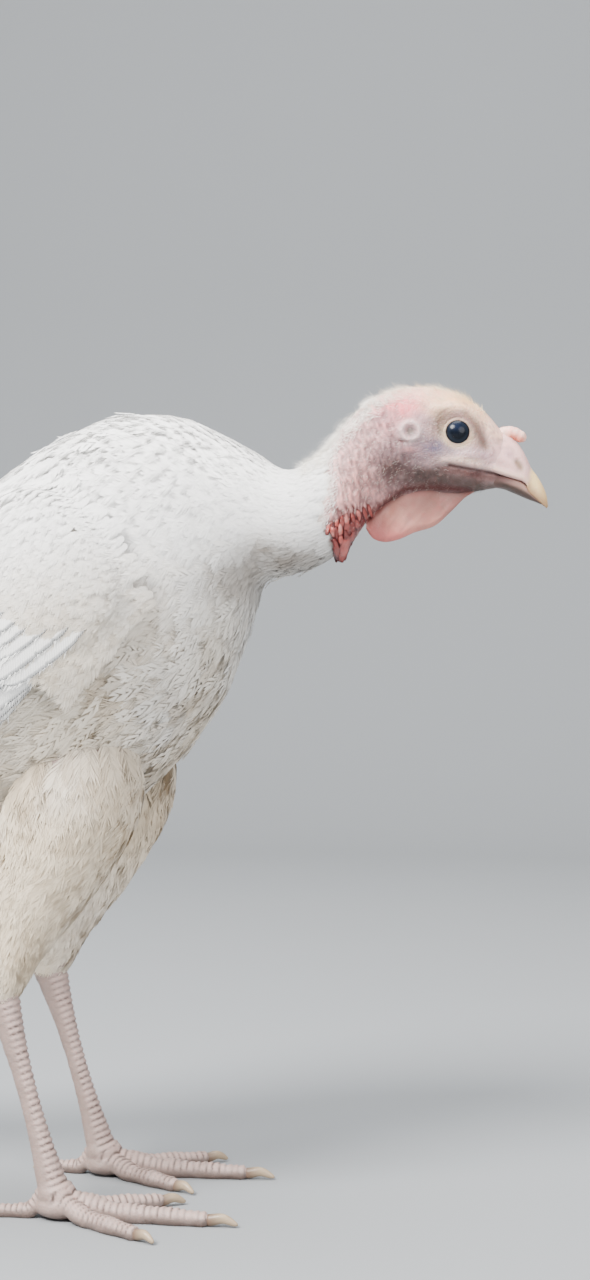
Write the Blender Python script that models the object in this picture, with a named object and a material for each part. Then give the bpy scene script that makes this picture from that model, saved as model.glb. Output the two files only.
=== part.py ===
"""A young white domestic turkey, standing, life size, as a still museum model.

Metres, +Z up. The bird faces +X with its left side at +Y. The origin is on the floor, under
the middle of the bird's outline. The trunk is one smooth form from tail root to bill base,
lofted through named cross-sections and parted by thin gaps. What grows from it is cut back
to 0.3 mm from its surface, so that each piece meets its root face to face.
"""

import math

import bmesh
import bpy
import numpy as np
from mathutils import Vector
from mathutils.bvhtree import BVHTree

MM = 0.001
GAP = 0.3
SIDES = {"left": 1.0, "right": -1.0}

# Cross-sections of the trunk in millimetres: the top point and the bottom point of the
# side outline, each as forward and up, then half the width, then how egg-shaped the
# section is (above 0 it is narrower below).
SECTIONS = {
    "tail_root": ((-157, 188), (-140, 159), 18, 0.00),
    "rump": ((-134, 233), (-109, 157), 37, 0.00),
    "back": ((-98, 279), (-60, 158), 54, 0.04),
    "loin": ((-57, 315), (-14, 169), 64, 0.08),
    "keel": ((-20, 339), (26, 190), 66, 0.12),
    "breast": ((11, 350), (55, 229), 59, 0.12),
    "crop": ((42, 347), (67, 262), 44, 0.06),
    "neck_root": ((66, 335), (72, 274), 29, 0.00),
    "neck_low": ((81, 326), (84, 278), 23.5, 0.00),
    "neck_mid": ((94, 332), (106, 287), 20.5, 0.00),
    "neck_high": ((105, 348), (123, 306), 19, 0.05),
    "nape": ((118, 359), (134, 314), 18.5, 0.10),
    "ear": ((133, 362), (144.5, 316), 18.5, 0.14),
    "temple": ((149, 361.5), (154.5, 315), 18, 0.18),
    "eye": ((160, 358), (164, 315), 16, 0.16),
    "lore": ((170, 350), (170.5, 315), 11.5, 0.05),
    "bill_base": ((178, 341.5), (176, 316), 8.6, 0.00),
}
ORDER = list(SECTIONS)

# The head and neck are turned a little to the bird's left, between these two places.
TURN_DEG = 10.0
TURN_FROM, TURN_TO = 74.0, 112.0

# Places on the head, forward and up, and sizes, in millimetres.
EYE_AT, EYE_R, EYE_OUT, EYE_OPENING = (157.0, 341.0), 7.0, 11.4, 5.3
EAR_AT, EAR_RING_R, EAR_RING_THICK, EAR_HOLE_R = (135.0, 341.5), 3.9, 1.5, 1.9
GAPE_LINE = ((160.5, 325.5), (166, 323.0), (172, 321.6), (182, 320.6))
GAPE_HEIGHT = 0.7
NOSTRIL_AT, NOSTRIL_SIZE = (185.0, 326.5), (2.6, 0.8)

# Bill: the upper half stands on its cutting edge and the lower half hangs from it.
BILL_UPPER = (
    ((178.4, 341.2), (176.6, 321.6), 8.4),
    ((184.3, 337.0), (180.2, 319.6), 8.0),
    ((188.2, 329.8), (183.9, 317.4), 6.9),
    ((191.0, 323.4), (187.0, 315.2), 5.5),
    ((194.5, 317.2), (191.0, 312.0), 3.6),
    ((197.0, 311.8), (194.9, 309.2), 1.7),
    ((197.6, 308.2), (197.0, 307.6), 0.5),
)
BILL_LOWER = (
    ((176.5, 321.0), (176.4, 316.2), 7.6),
    ((180.0, 319.0), (179.2, 315.4), 7.1),
    ((183.6, 316.7), (182.4, 313.7), 6.1),
    ((186.8, 314.5), (185.4, 312.0), 4.7),
    ((190.6, 311.4), (189.6, 309.8), 2.9),
    ((193.6, 309.2), (193.0, 308.5), 1.2),
)
SNOOD_PATH = ((178.0, 338.5), (181.0, 342.0), (184.5, 341.5), (187.3, 338.6))
SNOOD_R = (2.6, 2.9, 2.5, 1.5)

# The throat flap, from under the bill back to its hind tip: its free edge, forward and up,
# and how thick it is there. Its top runs inside the throat.
WATTLE = (
    ((163, 322), (161, 313.5), 1.2),
    ((158, 324), (155.5, 307.5), 2.2),
    ((150, 325), (148, 301.0), 2.9),
    ((141, 325), (139, 296.5), 3.2),
    ((132, 324), (131, 292.8), 3.1),
    ((126, 322), (126.5, 292.0), 2.6),
    ((121, 317), (121.5, 294.5), 1.8),
    ((118, 313), (118.5, 299.0), 1.0),
)
CARUNCLES = (
    ((105.0, 290.5), 4.2, 3.4),
    ((108.5, 293.5), 3.6, 3.0),
    ((104.0, 286.0), 3.0, 4.6),
    ((111.5, 296.5), 3.0, 2.8),
    ((107.0, 288.0), 2.6, 3.6),
)

# Folded wing: a curved sheet fitted to the flank. Its long axis runs down and back from the
# wrist; across runs towards the belly; out is away from the flank. Past WING_STRAIGHT the
# sheet runs on straight, so that the tips stand clear of the rump.
WRIST = (4.0, 289.0)
WING_PITCH_DEG = 42.0
WING_LENGTH = 200.0
WING_STRAIGHT = 120.0
# The covered arm and hand inside the wing: along, middle across, half across, middle out and
# half thickness.
WING_CORE = (
    (-10, -1, 6, 3.6, 2.2),
    (-5, -1, 20, 4.6, 4.4),
    (8, -2, 32, 6.2, 6.2),
    (24, -3, 35, 6.6, 6.3),
    (38, -3, 34, 6.0, 5.0),
    (50, -3, 30, 5.0, 2.4),
)
# Rows of vanes, from the flank outwards. Each row gives the root and the tip (along, across)
# of its lowest and its highest vane, how many vanes, their half width and how far out they lie.
WING_ROWS = {
    "primaries": ((42, 25), (34, 4), (174, 21), (198, -6), 5, 6.8, 2.5),
    "secondaries": ((14, 24), (22, -33), (162, 13), (114, -39), 7, 8.4, 6.1),
    "greater_coverts": ((10, 23), (12, -27), (86, 17), (78, -32), 6, 8.2, 9.4),
    "median_coverts": ((6, 18), (6, -26), (54, 18), (52, -29), 5, 8.4, 12.4),
}
WING_STATIONS = (54, 88, 120, 152)
# Neighbouring vanes of a row lie this far apart where one covers the next.
VANE_STEP = 1.15
VANE_MIDDLE, VANE_EDGE = 0.42, 0.28

# Tail: a low arched fan, carried in line with the back. Each row gives its vanes' count,
# spacing at the root, spread, root, length, half width at root and tip, and how far out it lies.
TAIL_ROOT = (-142.0, 178.0)
TAIL_PITCH_DEG = 31.0
TAIL_ARCH = 170.0
TAIL_CORE = ((-4, 13, 10.5), (6, 15, 9), (16, 17, 6), (27, 19, 2.2))
TAIL_ROWS = {
    "tail_feathers": (11, 2.4, 42.0, 4, 120.0, 5.5, 10.0, -0.6),
    "tail_coverts": (5, 4.6, 34.0, 2, 56.0, 5.5, 8.2, 3.2),
}
TAIL_STATIONS = (48,)

# Legs in millimetres: forward, outward and up.
THIGH_TOP, HOCK, TOE_JOINT = (6.0, 27.0, 222.0), (-38.0, 38.0, 98.0), (-13.0, 40.0, 12.0)
THIGH_SIZES = ((0.00, 20, 13), (0.3, 31, 23), (0.6, 24, 19.5), (0.84, 13, 11.5), (0.97, 9.4, 8.2))
SHANK_SIZES = ((0.0, 8.6, 7.2), (0.10, 7.2, 6.4), (0.28, 5.4, 4.7), (0.75, 5.0, 4.5), (0.93, 6.4, 6.2))
HOCK_R = (8.8, 7.6, 7.6)
SHANK_SCUTES = 10
SCUTE_RISE = 0.45
# Toe: heading from straight ahead (outward is positive), length, thickness at root and tip,
# scutes along its top, claw length.
TOES = {
    "inner": (-32.0, 50.0, 4.7, 3.2, 6, 11.0),
    "middle": (2.0, 70.0, 5.1, 3.3, 8, 12.5),
    "outer": (34.0, 54.0, 4.6, 3.1, 7, 10.5),
    "hind": (176.0, 25.0, 3.7, 2.9, 3, 9.5),
}

COLOURS = {
    "feathers": ((0.86, 0.84, 0.78), 0.75),
    "skin": ((0.80, 0.58, 0.54), 0.50),
    "wattle": ((0.78, 0.42, 0.38), 0.45),
    "horn": ((0.82, 0.74, 0.58), 0.35),
    "leg": ((0.72, 0.56, 0.50), 0.55),
    "eye": ((0.02, 0.03, 0.06), 0.08),
}


def spline(values, knots, at):
    """A smooth curve through values at knots, read at the places in at."""
    values, knots, at = np.asarray(values, float), np.asarray(knots, float), np.asarray(at, float)
    step = np.diff(knots)
    slope = np.diff(values, axis=0) / step[:, None]
    tangent = np.empty_like(values)
    tangent[0], tangent[-1] = slope[0], slope[-1]
    before, after = step[:-1, None], step[1:, None]
    tangent[1:-1] = (slope[:-1] * after + slope[1:] * before) / (before + after)
    i = np.clip(np.searchsorted(knots, at, side="right") - 1, 0, len(step) - 1)
    h, t = step[i][:, None], ((at - knots[i]) / step[i])[:, None]
    return (
        (1 + 2 * t) * (1 - t) ** 2 * values[i]
        + t * (1 - t) ** 2 * h * tangent[i]
        + t * t * (3 - 2 * t) * values[i + 1]
        + t * t * (t - 1) * h * tangent[i + 1]
    )


def section_table():
    """The trunk's sections as rows of numbers, and how far along the trunk each one is."""
    rows = np.array([[*top, *bottom, width, egg] for top, bottom, width, egg in SECTIONS.values()])
    middle = (rows[:, 0:2] + rows[:, 2:4]) / 2
    along = np.concatenate([[0.0], np.cumsum(np.linalg.norm(np.diff(middle, axis=0), axis=1))])
    return rows, along


TABLE, ALONG = section_table()


def place(name):
    """How far along the trunk a named section is, in millimetres."""
    return ALONG[ORDER.index(name)]


def trunk(at, around, grow=0.0):
    """Points of the trunk's surface: for each place along it, a closed egg-shaped ring."""
    row = spline(TABLE, ALONG, at)
    top, bottom = row[:, 0:2], row[:, 2:4]
    middle, half = (top + bottom) / 2, (top - bottom) / 2
    height = np.linalg.norm(half, axis=1, keepdims=True)
    up = half / height
    angle = np.arange(around) * 2 * math.pi / around
    lift = (height + grow) * np.sin(angle)[None, :]
    out = (row[:, 4:5] + grow) * np.cos(angle)[None, :] * (1 + row[:, 5:6] * np.sin(angle)[None, :])
    return np.stack(
        [middle[:, 0:1] + up[:, 0:1] * lift, out, middle[:, 1:2] + up[:, 1:2] * lift], axis=2
    )


def material(name):
    found = bpy.data.materials.get(name)
    if found:
        return found
    colour, roughness = COLOURS[name]
    made = bpy.data.materials.new(name)
    made.use_nodes = True
    shader = made.node_tree.nodes["Principled BSDF"]
    shader.inputs["Base Color"].default_value = (*colour, 1.0)
    shader.inputs["Roughness"].default_value = roughness
    shader.inputs["Metallic"].default_value = 0.0
    return made


def new_object(name, points, faces, finish):
    """A mesh object from points in millimetres, its faces turned outwards."""
    mesh = bpy.data.meshes.new(name)
    mesh.from_pydata((np.asarray(points, float) * MM).tolist(), [], faces)
    work = bmesh.new()
    work.from_mesh(mesh)
    bmesh.ops.recalc_face_normals(work, faces=work.faces)
    work.to_mesh(mesh)
    work.free()
    made = bpy.data.objects.new(name, mesh)
    bpy.context.scene.collection.objects.link(made)
    mesh.materials.append(material(finish))
    return made


def loft(name, rings, finish):
    """A closed skin over a row of rings with the same number of points, capped at both ends."""
    count, around = rings.shape[:2]
    faces = []
    for i in range(count - 1):
        for j in range(around):
            k = (j + 1) % around
            a, b, c, d = i * around + j, i * around + k, (i + 1) * around + k, (i + 1) * around + j
            faces += [(a, b, c), (a, c, d)]
    faces.append(tuple(range(around))[::-1])
    faces.append(tuple(range((count - 1) * around, count * around)))
    return new_object(name, rings.reshape(-1, 3), faces, finish)


def ellipsoid(name, centre, radii, finish, around=16, rows=8):
    """A sphere primitive stretched to radii, in millimetres."""
    work = bmesh.new()
    bmesh.ops.create_uvsphere(work, u_segments=around, v_segments=rows, radius=1.0)
    for vertex in work.verts:
        vertex.co = Vector([(c + r * x) * MM for c, r, x in zip(centre, radii, vertex.co)])
    mesh = bpy.data.meshes.new(name)
    work.to_mesh(mesh)
    work.free()
    made = bpy.data.objects.new(name, mesh)
    bpy.context.scene.collection.objects.link(made)
    mesh.materials.append(material(finish))
    return made


def remove(*objects):
    for obj in objects:
        bpy.data.objects.remove(obj)


def combine(target, others, operation, solver="EXACT"):
    """One Boolean of target with all of others, applied. The others are removed."""
    group = bpy.data.collections.new(target.name + "_pieces")
    bpy.context.scene.collection.children.link(group)
    for other in others:
        group.objects.link(other)
    modifier = target.modifiers.new(operation.lower(), "BOOLEAN")
    modifier.operation = operation
    modifier.operand_type = "COLLECTION"
    modifier.collection = group
    modifier.solver = solver
    bpy.context.view_layer.update()
    evaluated = target.evaluated_get(bpy.context.evaluated_depsgraph_get())
    mesh = bpy.data.meshes.new_from_object(evaluated)
    target.modifiers.clear()
    target.data = mesh
    remove(*others)
    bpy.data.collections.remove(group)
    keep_largest(target)
    return target


def keep_largest(obj):
    """Leaves only the closed surface that holds the most, so no scrap or sealed hollow stays."""
    work = bmesh.new()
    work.from_mesh(obj.data)
    bmesh.ops.triangulate(work, faces=work.faces)
    unseen, shells = set(work.faces), []
    while unseen:
        stack, shell = [unseen.pop()], []
        while stack:
            face = stack.pop()
            shell.append(face)
            for edge in face.edges:
                for near in edge.link_faces:
                    if near in unseen:
                        unseen.discard(near)
                        stack.append(near)
        shells.append(shell)

    def volume(shell):
        corners = [[v.co for v in f.verts] for f in shell]
        return sum(a.dot(b.cross(c)) for a, b, c in corners) / 6

    shells.sort(key=volume)
    spare = [face for shell in shells[:-1] for face in shell]
    bmesh.ops.delete(work, geom=spare, context="FACES")
    work.to_mesh(obj.data)
    work.free()


def mirrored(obj, name):
    """The same piece on the other side of the bird."""
    made = obj.copy()
    made.data = obj.data.copy()
    made.name = name
    bpy.context.scene.collection.objects.link(made)
    for vertex in made.data.vertices:
        vertex.co.y = -vertex.co.y
    made.data.flip_normals()
    return made


def grown_trunk():
    """The neck and head a little larger, to cut back what grows from them."""
    at = np.linspace(place("crop"), ALONG[-1], 48)
    return loft("cutter", trunk(at, 32, GAP), "feathers")


def torso(name, grow=0.0):
    """The body from tail root to neck, or the same a little larger as a cutter."""
    low, high = -grow, place("neck_root") - GAP / 2 + grow
    return loft(name, trunk(np.linspace(low, high, 23), 26, grow), "feathers")


def trunk_piece(name, start, end, rings, around, finish):
    """The stretch of the trunk between two named sections, kept half a gap short at each."""
    low = place(start) + (GAP / 2 if start != ORDER[0] else 0.0)
    high = place(end) - (GAP / 2 if end != ORDER[-1] else 0.0)
    return loft(name, trunk(np.linspace(low, high, rings), around), finish)


def near(points, centre, reach):
    """A soft round weight, 1 at centre (forward, up) and fading over reach."""
    away = (points[..., 0] - centre[0]) ** 2 + (points[..., 2] - centre[1]) ** 2
    return np.exp(-away / reach**2)


def head():
    """Skull and cheeks, with brow, orbit, ear rim, lids and the line of the mouth."""
    low, high = place("nape") + GAP / 2, ALONG[-1]
    rings = trunk(np.linspace(low, high, 21), 24)
    side = np.sign(rings[..., 1]) * np.minimum(np.abs(rings[..., 1]) / 6.0, 1.0)
    brow_at = (EYE_AT[0] + 1.0, EYE_AT[1] + 8.5)
    lore_at = (EYE_AT[0] + 10.0, EYE_AT[1] - 5.0)
    rings[..., 1] += side * (
        1.2 * near(rings, brow_at, 6.0)
        - 1.9 * near(rings, EYE_AT, 7.0)
        - 1.3 * near(rings, lore_at, 5.0)
        + 0.8 * near(rings, (EYE_AT[0] - 2.0, EYE_AT[1] - 11.0), 7.0)
    )
    made = loft("head", rings, "skin")
    tree = BVHTree.FromObject(made, bpy.context.evaluated_depsgraph_get())
    rims, holes = [], []
    for sign in SIDES.values():
        rims.append(rim(tree, EYE_AT, EYE_OPENING + 0.7, 1.15, sign, 16, EYE_OUT + 4.6))
        rims.append(rim(tree, EAR_AT, EAR_RING_R, EAR_RING_THICK, sign, 11, None))
        ear_y = skin_out(tree, EAR_AT) + 0.6
        holes.append(
            ellipsoid("hole", (EAR_AT[0], sign * ear_y, EAR_AT[1]), (EAR_HOLE_R, 3.2, EAR_HOLE_R), "skin", 8, 6)
        )
        socket = EYE_R + GAP
        holes.append(
            ellipsoid("hole", (EYE_AT[0], sign * EYE_OUT, EYE_AT[1]), (socket,) * 3, "skin", 16, 8)
        )
    combine(made, rims, "UNION")
    return combine(made, [*holes, mouth_slot()], "DIFFERENCE")


def skin_out(tree, at):
    """How far out the head's skin is at a place given forward and up, in millimetres."""
    hit = tree.ray_cast(Vector((at[0] * MM, 0.06, at[1] * MM)), Vector((0, -1, 0)))[0]
    return hit.y / MM


def rim(tree, at, radius, thick, sign, count, out):
    """A soft ring that lies on the side of the head: the lids, or the ear's rim."""
    rings = []
    for i in range(count):
        turn = 2 * math.pi * i / count
        x, z = at[0] + radius * math.cos(turn), at[1] + radius * math.sin(turn)
        y = out if out else skin_out(tree, (x, z))
        ring = []
        for j in range(6):
            roll = 2 * math.pi * j / 6
            reach = radius + thick * math.cos(roll)
            ring.append(
                (
                    at[0] + reach * math.cos(turn),
                    sign * (y + thick * math.sin(roll)),
                    at[1] + reach * math.sin(turn),
                )
            )
        rings.append(ring)
    return torus("rim", np.array(rings), "skin")


def torus(name, rings, finish):
    """A closed skin over rings that run round to the first again."""
    count, around = rings.shape[:2]
    faces = []
    for i in range(count):
        for j in range(around):
            n, k = (i + 1) % count, (j + 1) % around
            faces.append((i * around + j, i * around + k, n * around + k, n * around + j))
    return new_object(name, rings.reshape(-1, 3), faces, finish)


def mouth_slot():
    """A thin curved slab across the head that opens the line of the mouth."""
    rings = []
    for x, z in GAPE_LINE:
        low, high = z - GAPE_HEIGHT / 2, z + GAPE_HEIGHT / 2
        rings.append(((x, -20, low), (x, 20, low), (x, 20, high), (x, -20, high)))
    return loft("slot", np.array(rings, float), "skin")


def half_ring(edge, reach, width, around):
    """A half-ellipse on a flat edge: edge is where the flat lies, reach its far point."""
    angle = np.linspace(0.0, math.pi, around)
    edge, reach = np.array(edge, float), np.array(reach, float)
    rise = np.sin(angle)[:, None] * (reach - edge)[None, :]
    return np.stack([edge[0] + rise[:, 0], width * np.cos(angle), edge[1] + rise[:, 1]], axis=1)


def bill():
    """Upper and lower halves of the bill, meeting along the cutting edge."""
    upper = np.array([half_ring(bottom, top, width, 11) for top, bottom, width in BILL_UPPER])
    lower = np.array([half_ring(top, bottom, width, 9) for top, bottom, width in BILL_LOWER])
    made = loft("bill_upper", upper, "horn")
    nostrils = []
    for sign in SIDES.values():
        centre = (NOSTRIL_AT[0], sign * 7.4, NOSTRIL_AT[1])
        nostrils.append(
            ellipsoid("nostril", centre, (NOSTRIL_SIZE[1], 1.9, NOSTRIL_SIZE[0]), "horn", 8, 6)
        )
    combine(made, nostrils, "DIFFERENCE")
    return made, loft("bill_lower", lower, "horn")


def tube(name, path, radii, around, finish):
    """A round bar of changing thickness along a path of points."""
    path, radii = np.array(path, float), np.array(radii, float).reshape(len(path), -1)
    heading = np.gradient(path, axis=0)
    heading /= np.linalg.norm(heading, axis=1, keepdims=True)
    flat = np.cross(heading, (0.0, 0.0, 1.0))
    flat /= np.linalg.norm(flat, axis=1, keepdims=True)
    over = np.cross(flat, heading)
    angle = np.arange(around) * 2 * math.pi / around
    rings = (
        path[:, None, :]
        + flat[:, None, :] * (radii[:, -1:] * np.cos(angle))[..., None]
        + over[:, None, :] * (radii[:, :1] * np.sin(angle))[..., None]
    )
    return loft(name, rings, finish)


def snood():
    """The small fleshy finger on top of the bill's base."""
    path = [(x, 0.0, z) for x, z in SNOOD_PATH]
    made = tube("snood", path, SNOOD_R, 10, "wattle")
    top = [half_ring(bottom, top, width + GAP, 15) for top, bottom, width in grown_bill()]
    return combine(made, [grown_trunk(), loft("cutter", np.array(top), "horn")], "DIFFERENCE")


def grown_bill():
    """The upper bill's sections with their tops raised by the gap."""
    for top, bottom, width in BILL_UPPER:
        rise = np.array(top, float) - np.array(bottom, float)
        reach = np.linalg.norm(rise)
        yield tuple(np.array(bottom) + rise * (1 + GAP / reach)), bottom, width


def wattle():
    """The throat flap: a thin leaf of skin hanging in the middle plane."""
    rings = []
    for top, bottom, thick in WATTLE:
        rows = np.linspace(0.0, 1.0, 5)
        line = np.array(top)[None, :] * (1 - rows[:, None]) + np.array(bottom)[None, :] * rows[:, None]
        half = thick * np.array([1.0, 1.0, 0.95, 0.85, 0.35])
        one = np.stack([line[:, 0], half, line[:, 1]], axis=1)
        rings.append(np.concatenate([one, one[::-1] * (1, -1, 1)]))
    made = loft("wattle", np.array(rings), "wattle")
    return combine(made, [grown_trunk()], "DIFFERENCE")


def caruncles():
    """The small red bulbs at the foot of the bare neck."""
    bulbs = [
        ellipsoid("bulb", (x, (-1) ** i * 1.2, z), (flat, flat * 1.1, tall), "wattle", 12, 7)
        for i, ((x, z), flat, tall) in enumerate(CARUNCLES)
    ]
    made = bulbs[0]
    made.name = "caruncles"
    combine(made, bulbs[1:], "UNION")
    return combine(made, [grown_trunk()], "DIFFERENCE")


def wing_terms(along, across):
    """The six terms of the wing sheet's fit."""
    along, across = np.broadcast_arrays(np.asarray(along, float), np.asarray(across, float))
    ones = np.ones_like(along)
    return np.stack([ones, along, across, along**2, along * across, across**2], axis=-1)


def wing_fit():
    """Fits a gently curved sheet to the trunk's flank inside the wing's outline."""
    pitch = math.radians(WING_PITCH_DEG)
    points = trunk(np.linspace(0.0, ALONG[-1], 120), 72, GAP).reshape(-1, 3)
    back, up = points[:, 0] - WRIST[0], points[:, 2] - WRIST[1]
    along = -back * math.cos(pitch) - up * math.sin(pitch)
    across = back * math.sin(pitch) - up * math.cos(pitch)
    inside = (points[:, 1] > 12) & (abs(along - 76) < 88) & (abs(across + 2) < 36)
    terms = wing_terms(along[inside], across[inside])
    return np.linalg.lstsq(terms, points[inside, 1], rcond=None)[0]


WING_FIT = wing_fit()


def on_wing(along, across, out):
    """A place on the left wing's sheet, or out from it, as forward, outward and up."""
    along, across, out = np.broadcast_arrays(*(np.asarray(v, float) for v in (along, across, out)))
    near_part = np.minimum(along, WING_STRAIGHT)
    slope = WING_FIT[1] + 2 * WING_FIT[3] * near_part + WING_FIT[4] * across
    lean = WING_FIT[2] + WING_FIT[4] * along + 2 * WING_FIT[5] * across
    level = wing_terms(near_part, across) @ WING_FIT + slope * (along - near_part)
    tall = np.sqrt(1 + slope**2 + lean**2)
    along, across, level = along - out * slope / tall, across - out * lean / tall, level + out / tall
    pitch = math.radians(WING_PITCH_DEG)
    x = WRIST[0] - along * math.cos(pitch) + across * math.sin(pitch)
    z = WRIST[1] - along * math.sin(pitch) - across * math.cos(pitch)
    return np.stack([x, level, z], axis=-1)


def vane(surface, along, middle, left, right, out, tilt):
    """One feather's vane on a sheet: a thin leaf, thickest along its quill.

    Its two faces are cut into the same triangles. tilt gives how steeply it rises from its
    quill towards its left and its right edge.
    """
    along, middle, out = (np.asarray(v, float)[:, None] for v in (along, middle, out))
    reach = np.stack([-np.asarray(left), np.zeros(len(along)), np.asarray(right)], axis=1)
    rise = np.abs(reach) * np.stack([tilt[0], np.zeros(len(along)), tilt[1]], axis=1)
    thick = np.array([VANE_EDGE, VANE_MIDDLE, VANE_EDGE])
    over = surface(along, middle + reach, out + rise + thick)
    under = surface(along, middle + reach, out + rise - thick)
    rings, count = np.concatenate([over, under], axis=1), len(along)
    faces = [(0, 1, 4, 3), (1, 2, 5, 4)]
    for i in range(count - 1):
        a, b = 6 * i, 6 * i + 6
        for j in (0, 1):
            k, m = (j, j + 1) if j else (j + 1, j)
            for face in (0, 3):
                faces.append((a + face + m, a + face + k, b + face + k))
                faces.append((a + face + m, b + face + k, b + face + m))
        for j in (0, 2):
            faces.append((a + j, b + j, b + j + 3, a + j + 3))
    last = 6 * count - 6
    faces += [(last, last + 1, last + 4, last + 3), (last + 1, last + 2, last + 5, last + 4)]
    return new_object("vane", rings.reshape(-1, 3), faces, "feathers")


def stops(root, tip, stations, taper):
    """Where a vane has its cross-sections, from its root to its tip."""
    middle = [place for place in stations if root + 9 < place < tip - taper - 9]
    return np.array([root, *middle, tip - taper, tip - 0.3 * taper, tip], float)


def wing_row(lowest_root, highest_root, lowest_tip, highest_tip, count, half, out):
    """One row of the wing's vanes. Each lies over its neighbour on the belly side."""
    made = []
    share = np.linspace(0.0, 1.0, count)[:, None]
    roots = np.array(lowest_root) * (1 - share) + np.array(highest_root) * share
    tips = np.array(lowest_tip) * (1 - share) + np.array(highest_tip) * share
    tips[:, 0] += 5.0 * np.sin(share[:, 0] * math.pi)
    for root, tip in zip(roots, tips):
        along = stops(root[0], tip[0], WING_STATIONS, 0.9 * half)
        part = (along - root[0]) / (tip[0] - root[0])
        middle = root[1] + (tip[1] - root[1]) * part
        wide = half * np.interp(along - tip[0], (-0.9 * half, -0.3 * half, 0), (1.0, 0.78, 0.25))
        wide *= np.interp(part, (0.0, 0.35), (0.75, 1.0))
        gap_root = abs(highest_root[1] - lowest_root[1]) / (count - 1)
        gap_tip = abs(highest_tip[1] - lowest_tip[1]) / (count - 1)
        steep = VANE_STEP / (gap_root + (gap_tip - gap_root) * part)
        settle = np.interp(along - root[0], (0.0, 16.0), (0.62, 1.0))
        tilt = np.stack([-steep, steep])
        made.append(vane(on_wing, along, middle, 1.1 * wide, 0.9 * wide, out * settle, tilt))
    return made


def wing():
    """The folded left wing: a rounded core, and rows of vanes that leave it."""
    core = np.array(WING_CORE, float)
    angle = np.arange(12) * 2 * math.pi / 12
    across = core[:, 1:2] + core[:, 2:3] * np.cos(angle)
    rings = on_wing(core[:, 0:1], across, core[:, 3:4] + core[:, 4:5] * np.sin(angle))
    made = loft("wing_left", rings, "feathers")
    vanes = [piece for row in WING_ROWS.values() for piece in wing_row(*row)]
    combine(made, vanes, "UNION")
    return combine(made, [torso("cutter", GAP)], "DIFFERENCE")


def on_tail(along, across, out):
    """A place on the tail's arched sheet, or out from it."""
    pitch = math.radians(TAIL_PITCH_DEG)
    lift = out - np.square(across) / (2 * TAIL_ARCH)
    x = TAIL_ROOT[0] - along * math.cos(pitch) - lift * math.sin(pitch)
    z = TAIL_ROOT[1] - along * math.sin(pitch) + lift * math.cos(pitch)
    return np.stack(np.broadcast_arrays(x, across, z), axis=-1)


def tail_row(count, spacing, spread, root, length, half_root, half_tip, out):
    """One row of the tail's vanes, a fan whose middle vane lies on top."""
    made = []
    turn = math.radians(spread) / (count - 1)
    for i in range(count):
        step = i - (count - 1) // 2
        tip = root + length * (1 - 0.05 * (step / count * 2) ** 2) * math.cos(step * turn)
        along = stops(root, tip, TAIL_STATIONS, 0.55 * half_tip)
        middle = step * spacing + (along - root) * math.tan(step * turn)
        part = (along - root) / (tip - root)
        wide = half_root + (half_tip - half_root) * np.minimum(part * 1.4, 1.0)
        wide *= np.interp(along - tip, (-0.55 * half_tip, -0.2 * half_tip, 0), (1.0, 0.95, 0.72))
        steep = VANE_STEP / (spacing + (along - root) * math.tan(turn))
        tilt = np.stack([-steep if step > 0 else steep, -steep if step < 0 else steep])
        made.append(vane(on_tail, along, middle, wide, wide, np.full(len(along), out), tilt))
    return made


def tail():
    """The tail: a small core, the fan of tail feathers and the coverts over its root."""
    core = np.array(TAIL_CORE, float)
    angle = np.arange(14) * 2 * math.pi / 14
    lift = 0.8 + core[:, 2:3] * np.sin(angle)
    made = loft("tail", on_tail(core[:, 0:1], core[:, 1:2] * np.cos(angle), lift), "feathers")
    combine(made, [piece for row in TAIL_ROWS.values() for piece in tail_row(*row)], "UNION")
    return combine(made, [torso("cutter", GAP)], "DIFFERENCE")


def limb(name, start, end, sizes, around, finish, low, high, scutes=0):
    """A straight tapering limb. Sizes give depth and width at shares of its length."""
    start, end = np.array(start), np.array(end)
    table = np.array(sizes, float)
    count = 3 * scutes + 3 if scutes else 2 * len(sizes)
    share = np.linspace(low, high, count)
    size = spline(table[:, 1:], table[:, 0], share)
    heading = (end - start) / np.linalg.norm(end - start)
    side = np.array((0.0, 1.0, 0.0)) - heading * heading[1]
    side /= np.linalg.norm(side)
    front = np.cross(side, heading)
    front *= np.sign(front[0])
    angle = np.arange(around) * 2 * math.pi / around
    depth = size[:, :1] * np.cos(angle)
    if scutes:
        step = 1 - (np.arange(count) % 3) / 2
        depth += SCUTE_RISE * step[:, None] * np.clip(np.cos(angle), 0, 1)
    rings = (
        (start + (end - start) * share[:, None])[:, None, :]
        + front * depth[..., None]
        + side * (size[:, 1:] * np.sin(angle))[..., None]
    )
    return loft(name, rings, finish)


def thigh():
    """The feathered drumstick, from the flank down over the top of the hock."""
    made = limb("thigh_left", THIGH_TOP, HOCK, THIGH_SIZES, 16, "feathers", 0.0, 0.97)
    return combine(made, [torso("cutter", GAP), shank("cutter", GAP)], "DIFFERENCE")


def shank(name, grow=0.0):
    """The bare scaly shank from the hock to the toes."""
    sizes = [(share, depth + grow, width + grow) for share, depth, width in SHANK_SIZES]
    made = limb(name, HOCK, TOE_JOINT, sizes, 10, "leg", 0.0, 0.90, SHANK_SCUTES)
    knob = ellipsoid("knob", HOCK, [r + grow for r in HOCK_R], "leg", 12, 7)
    return combine(made, [knob], "UNION")


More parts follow.
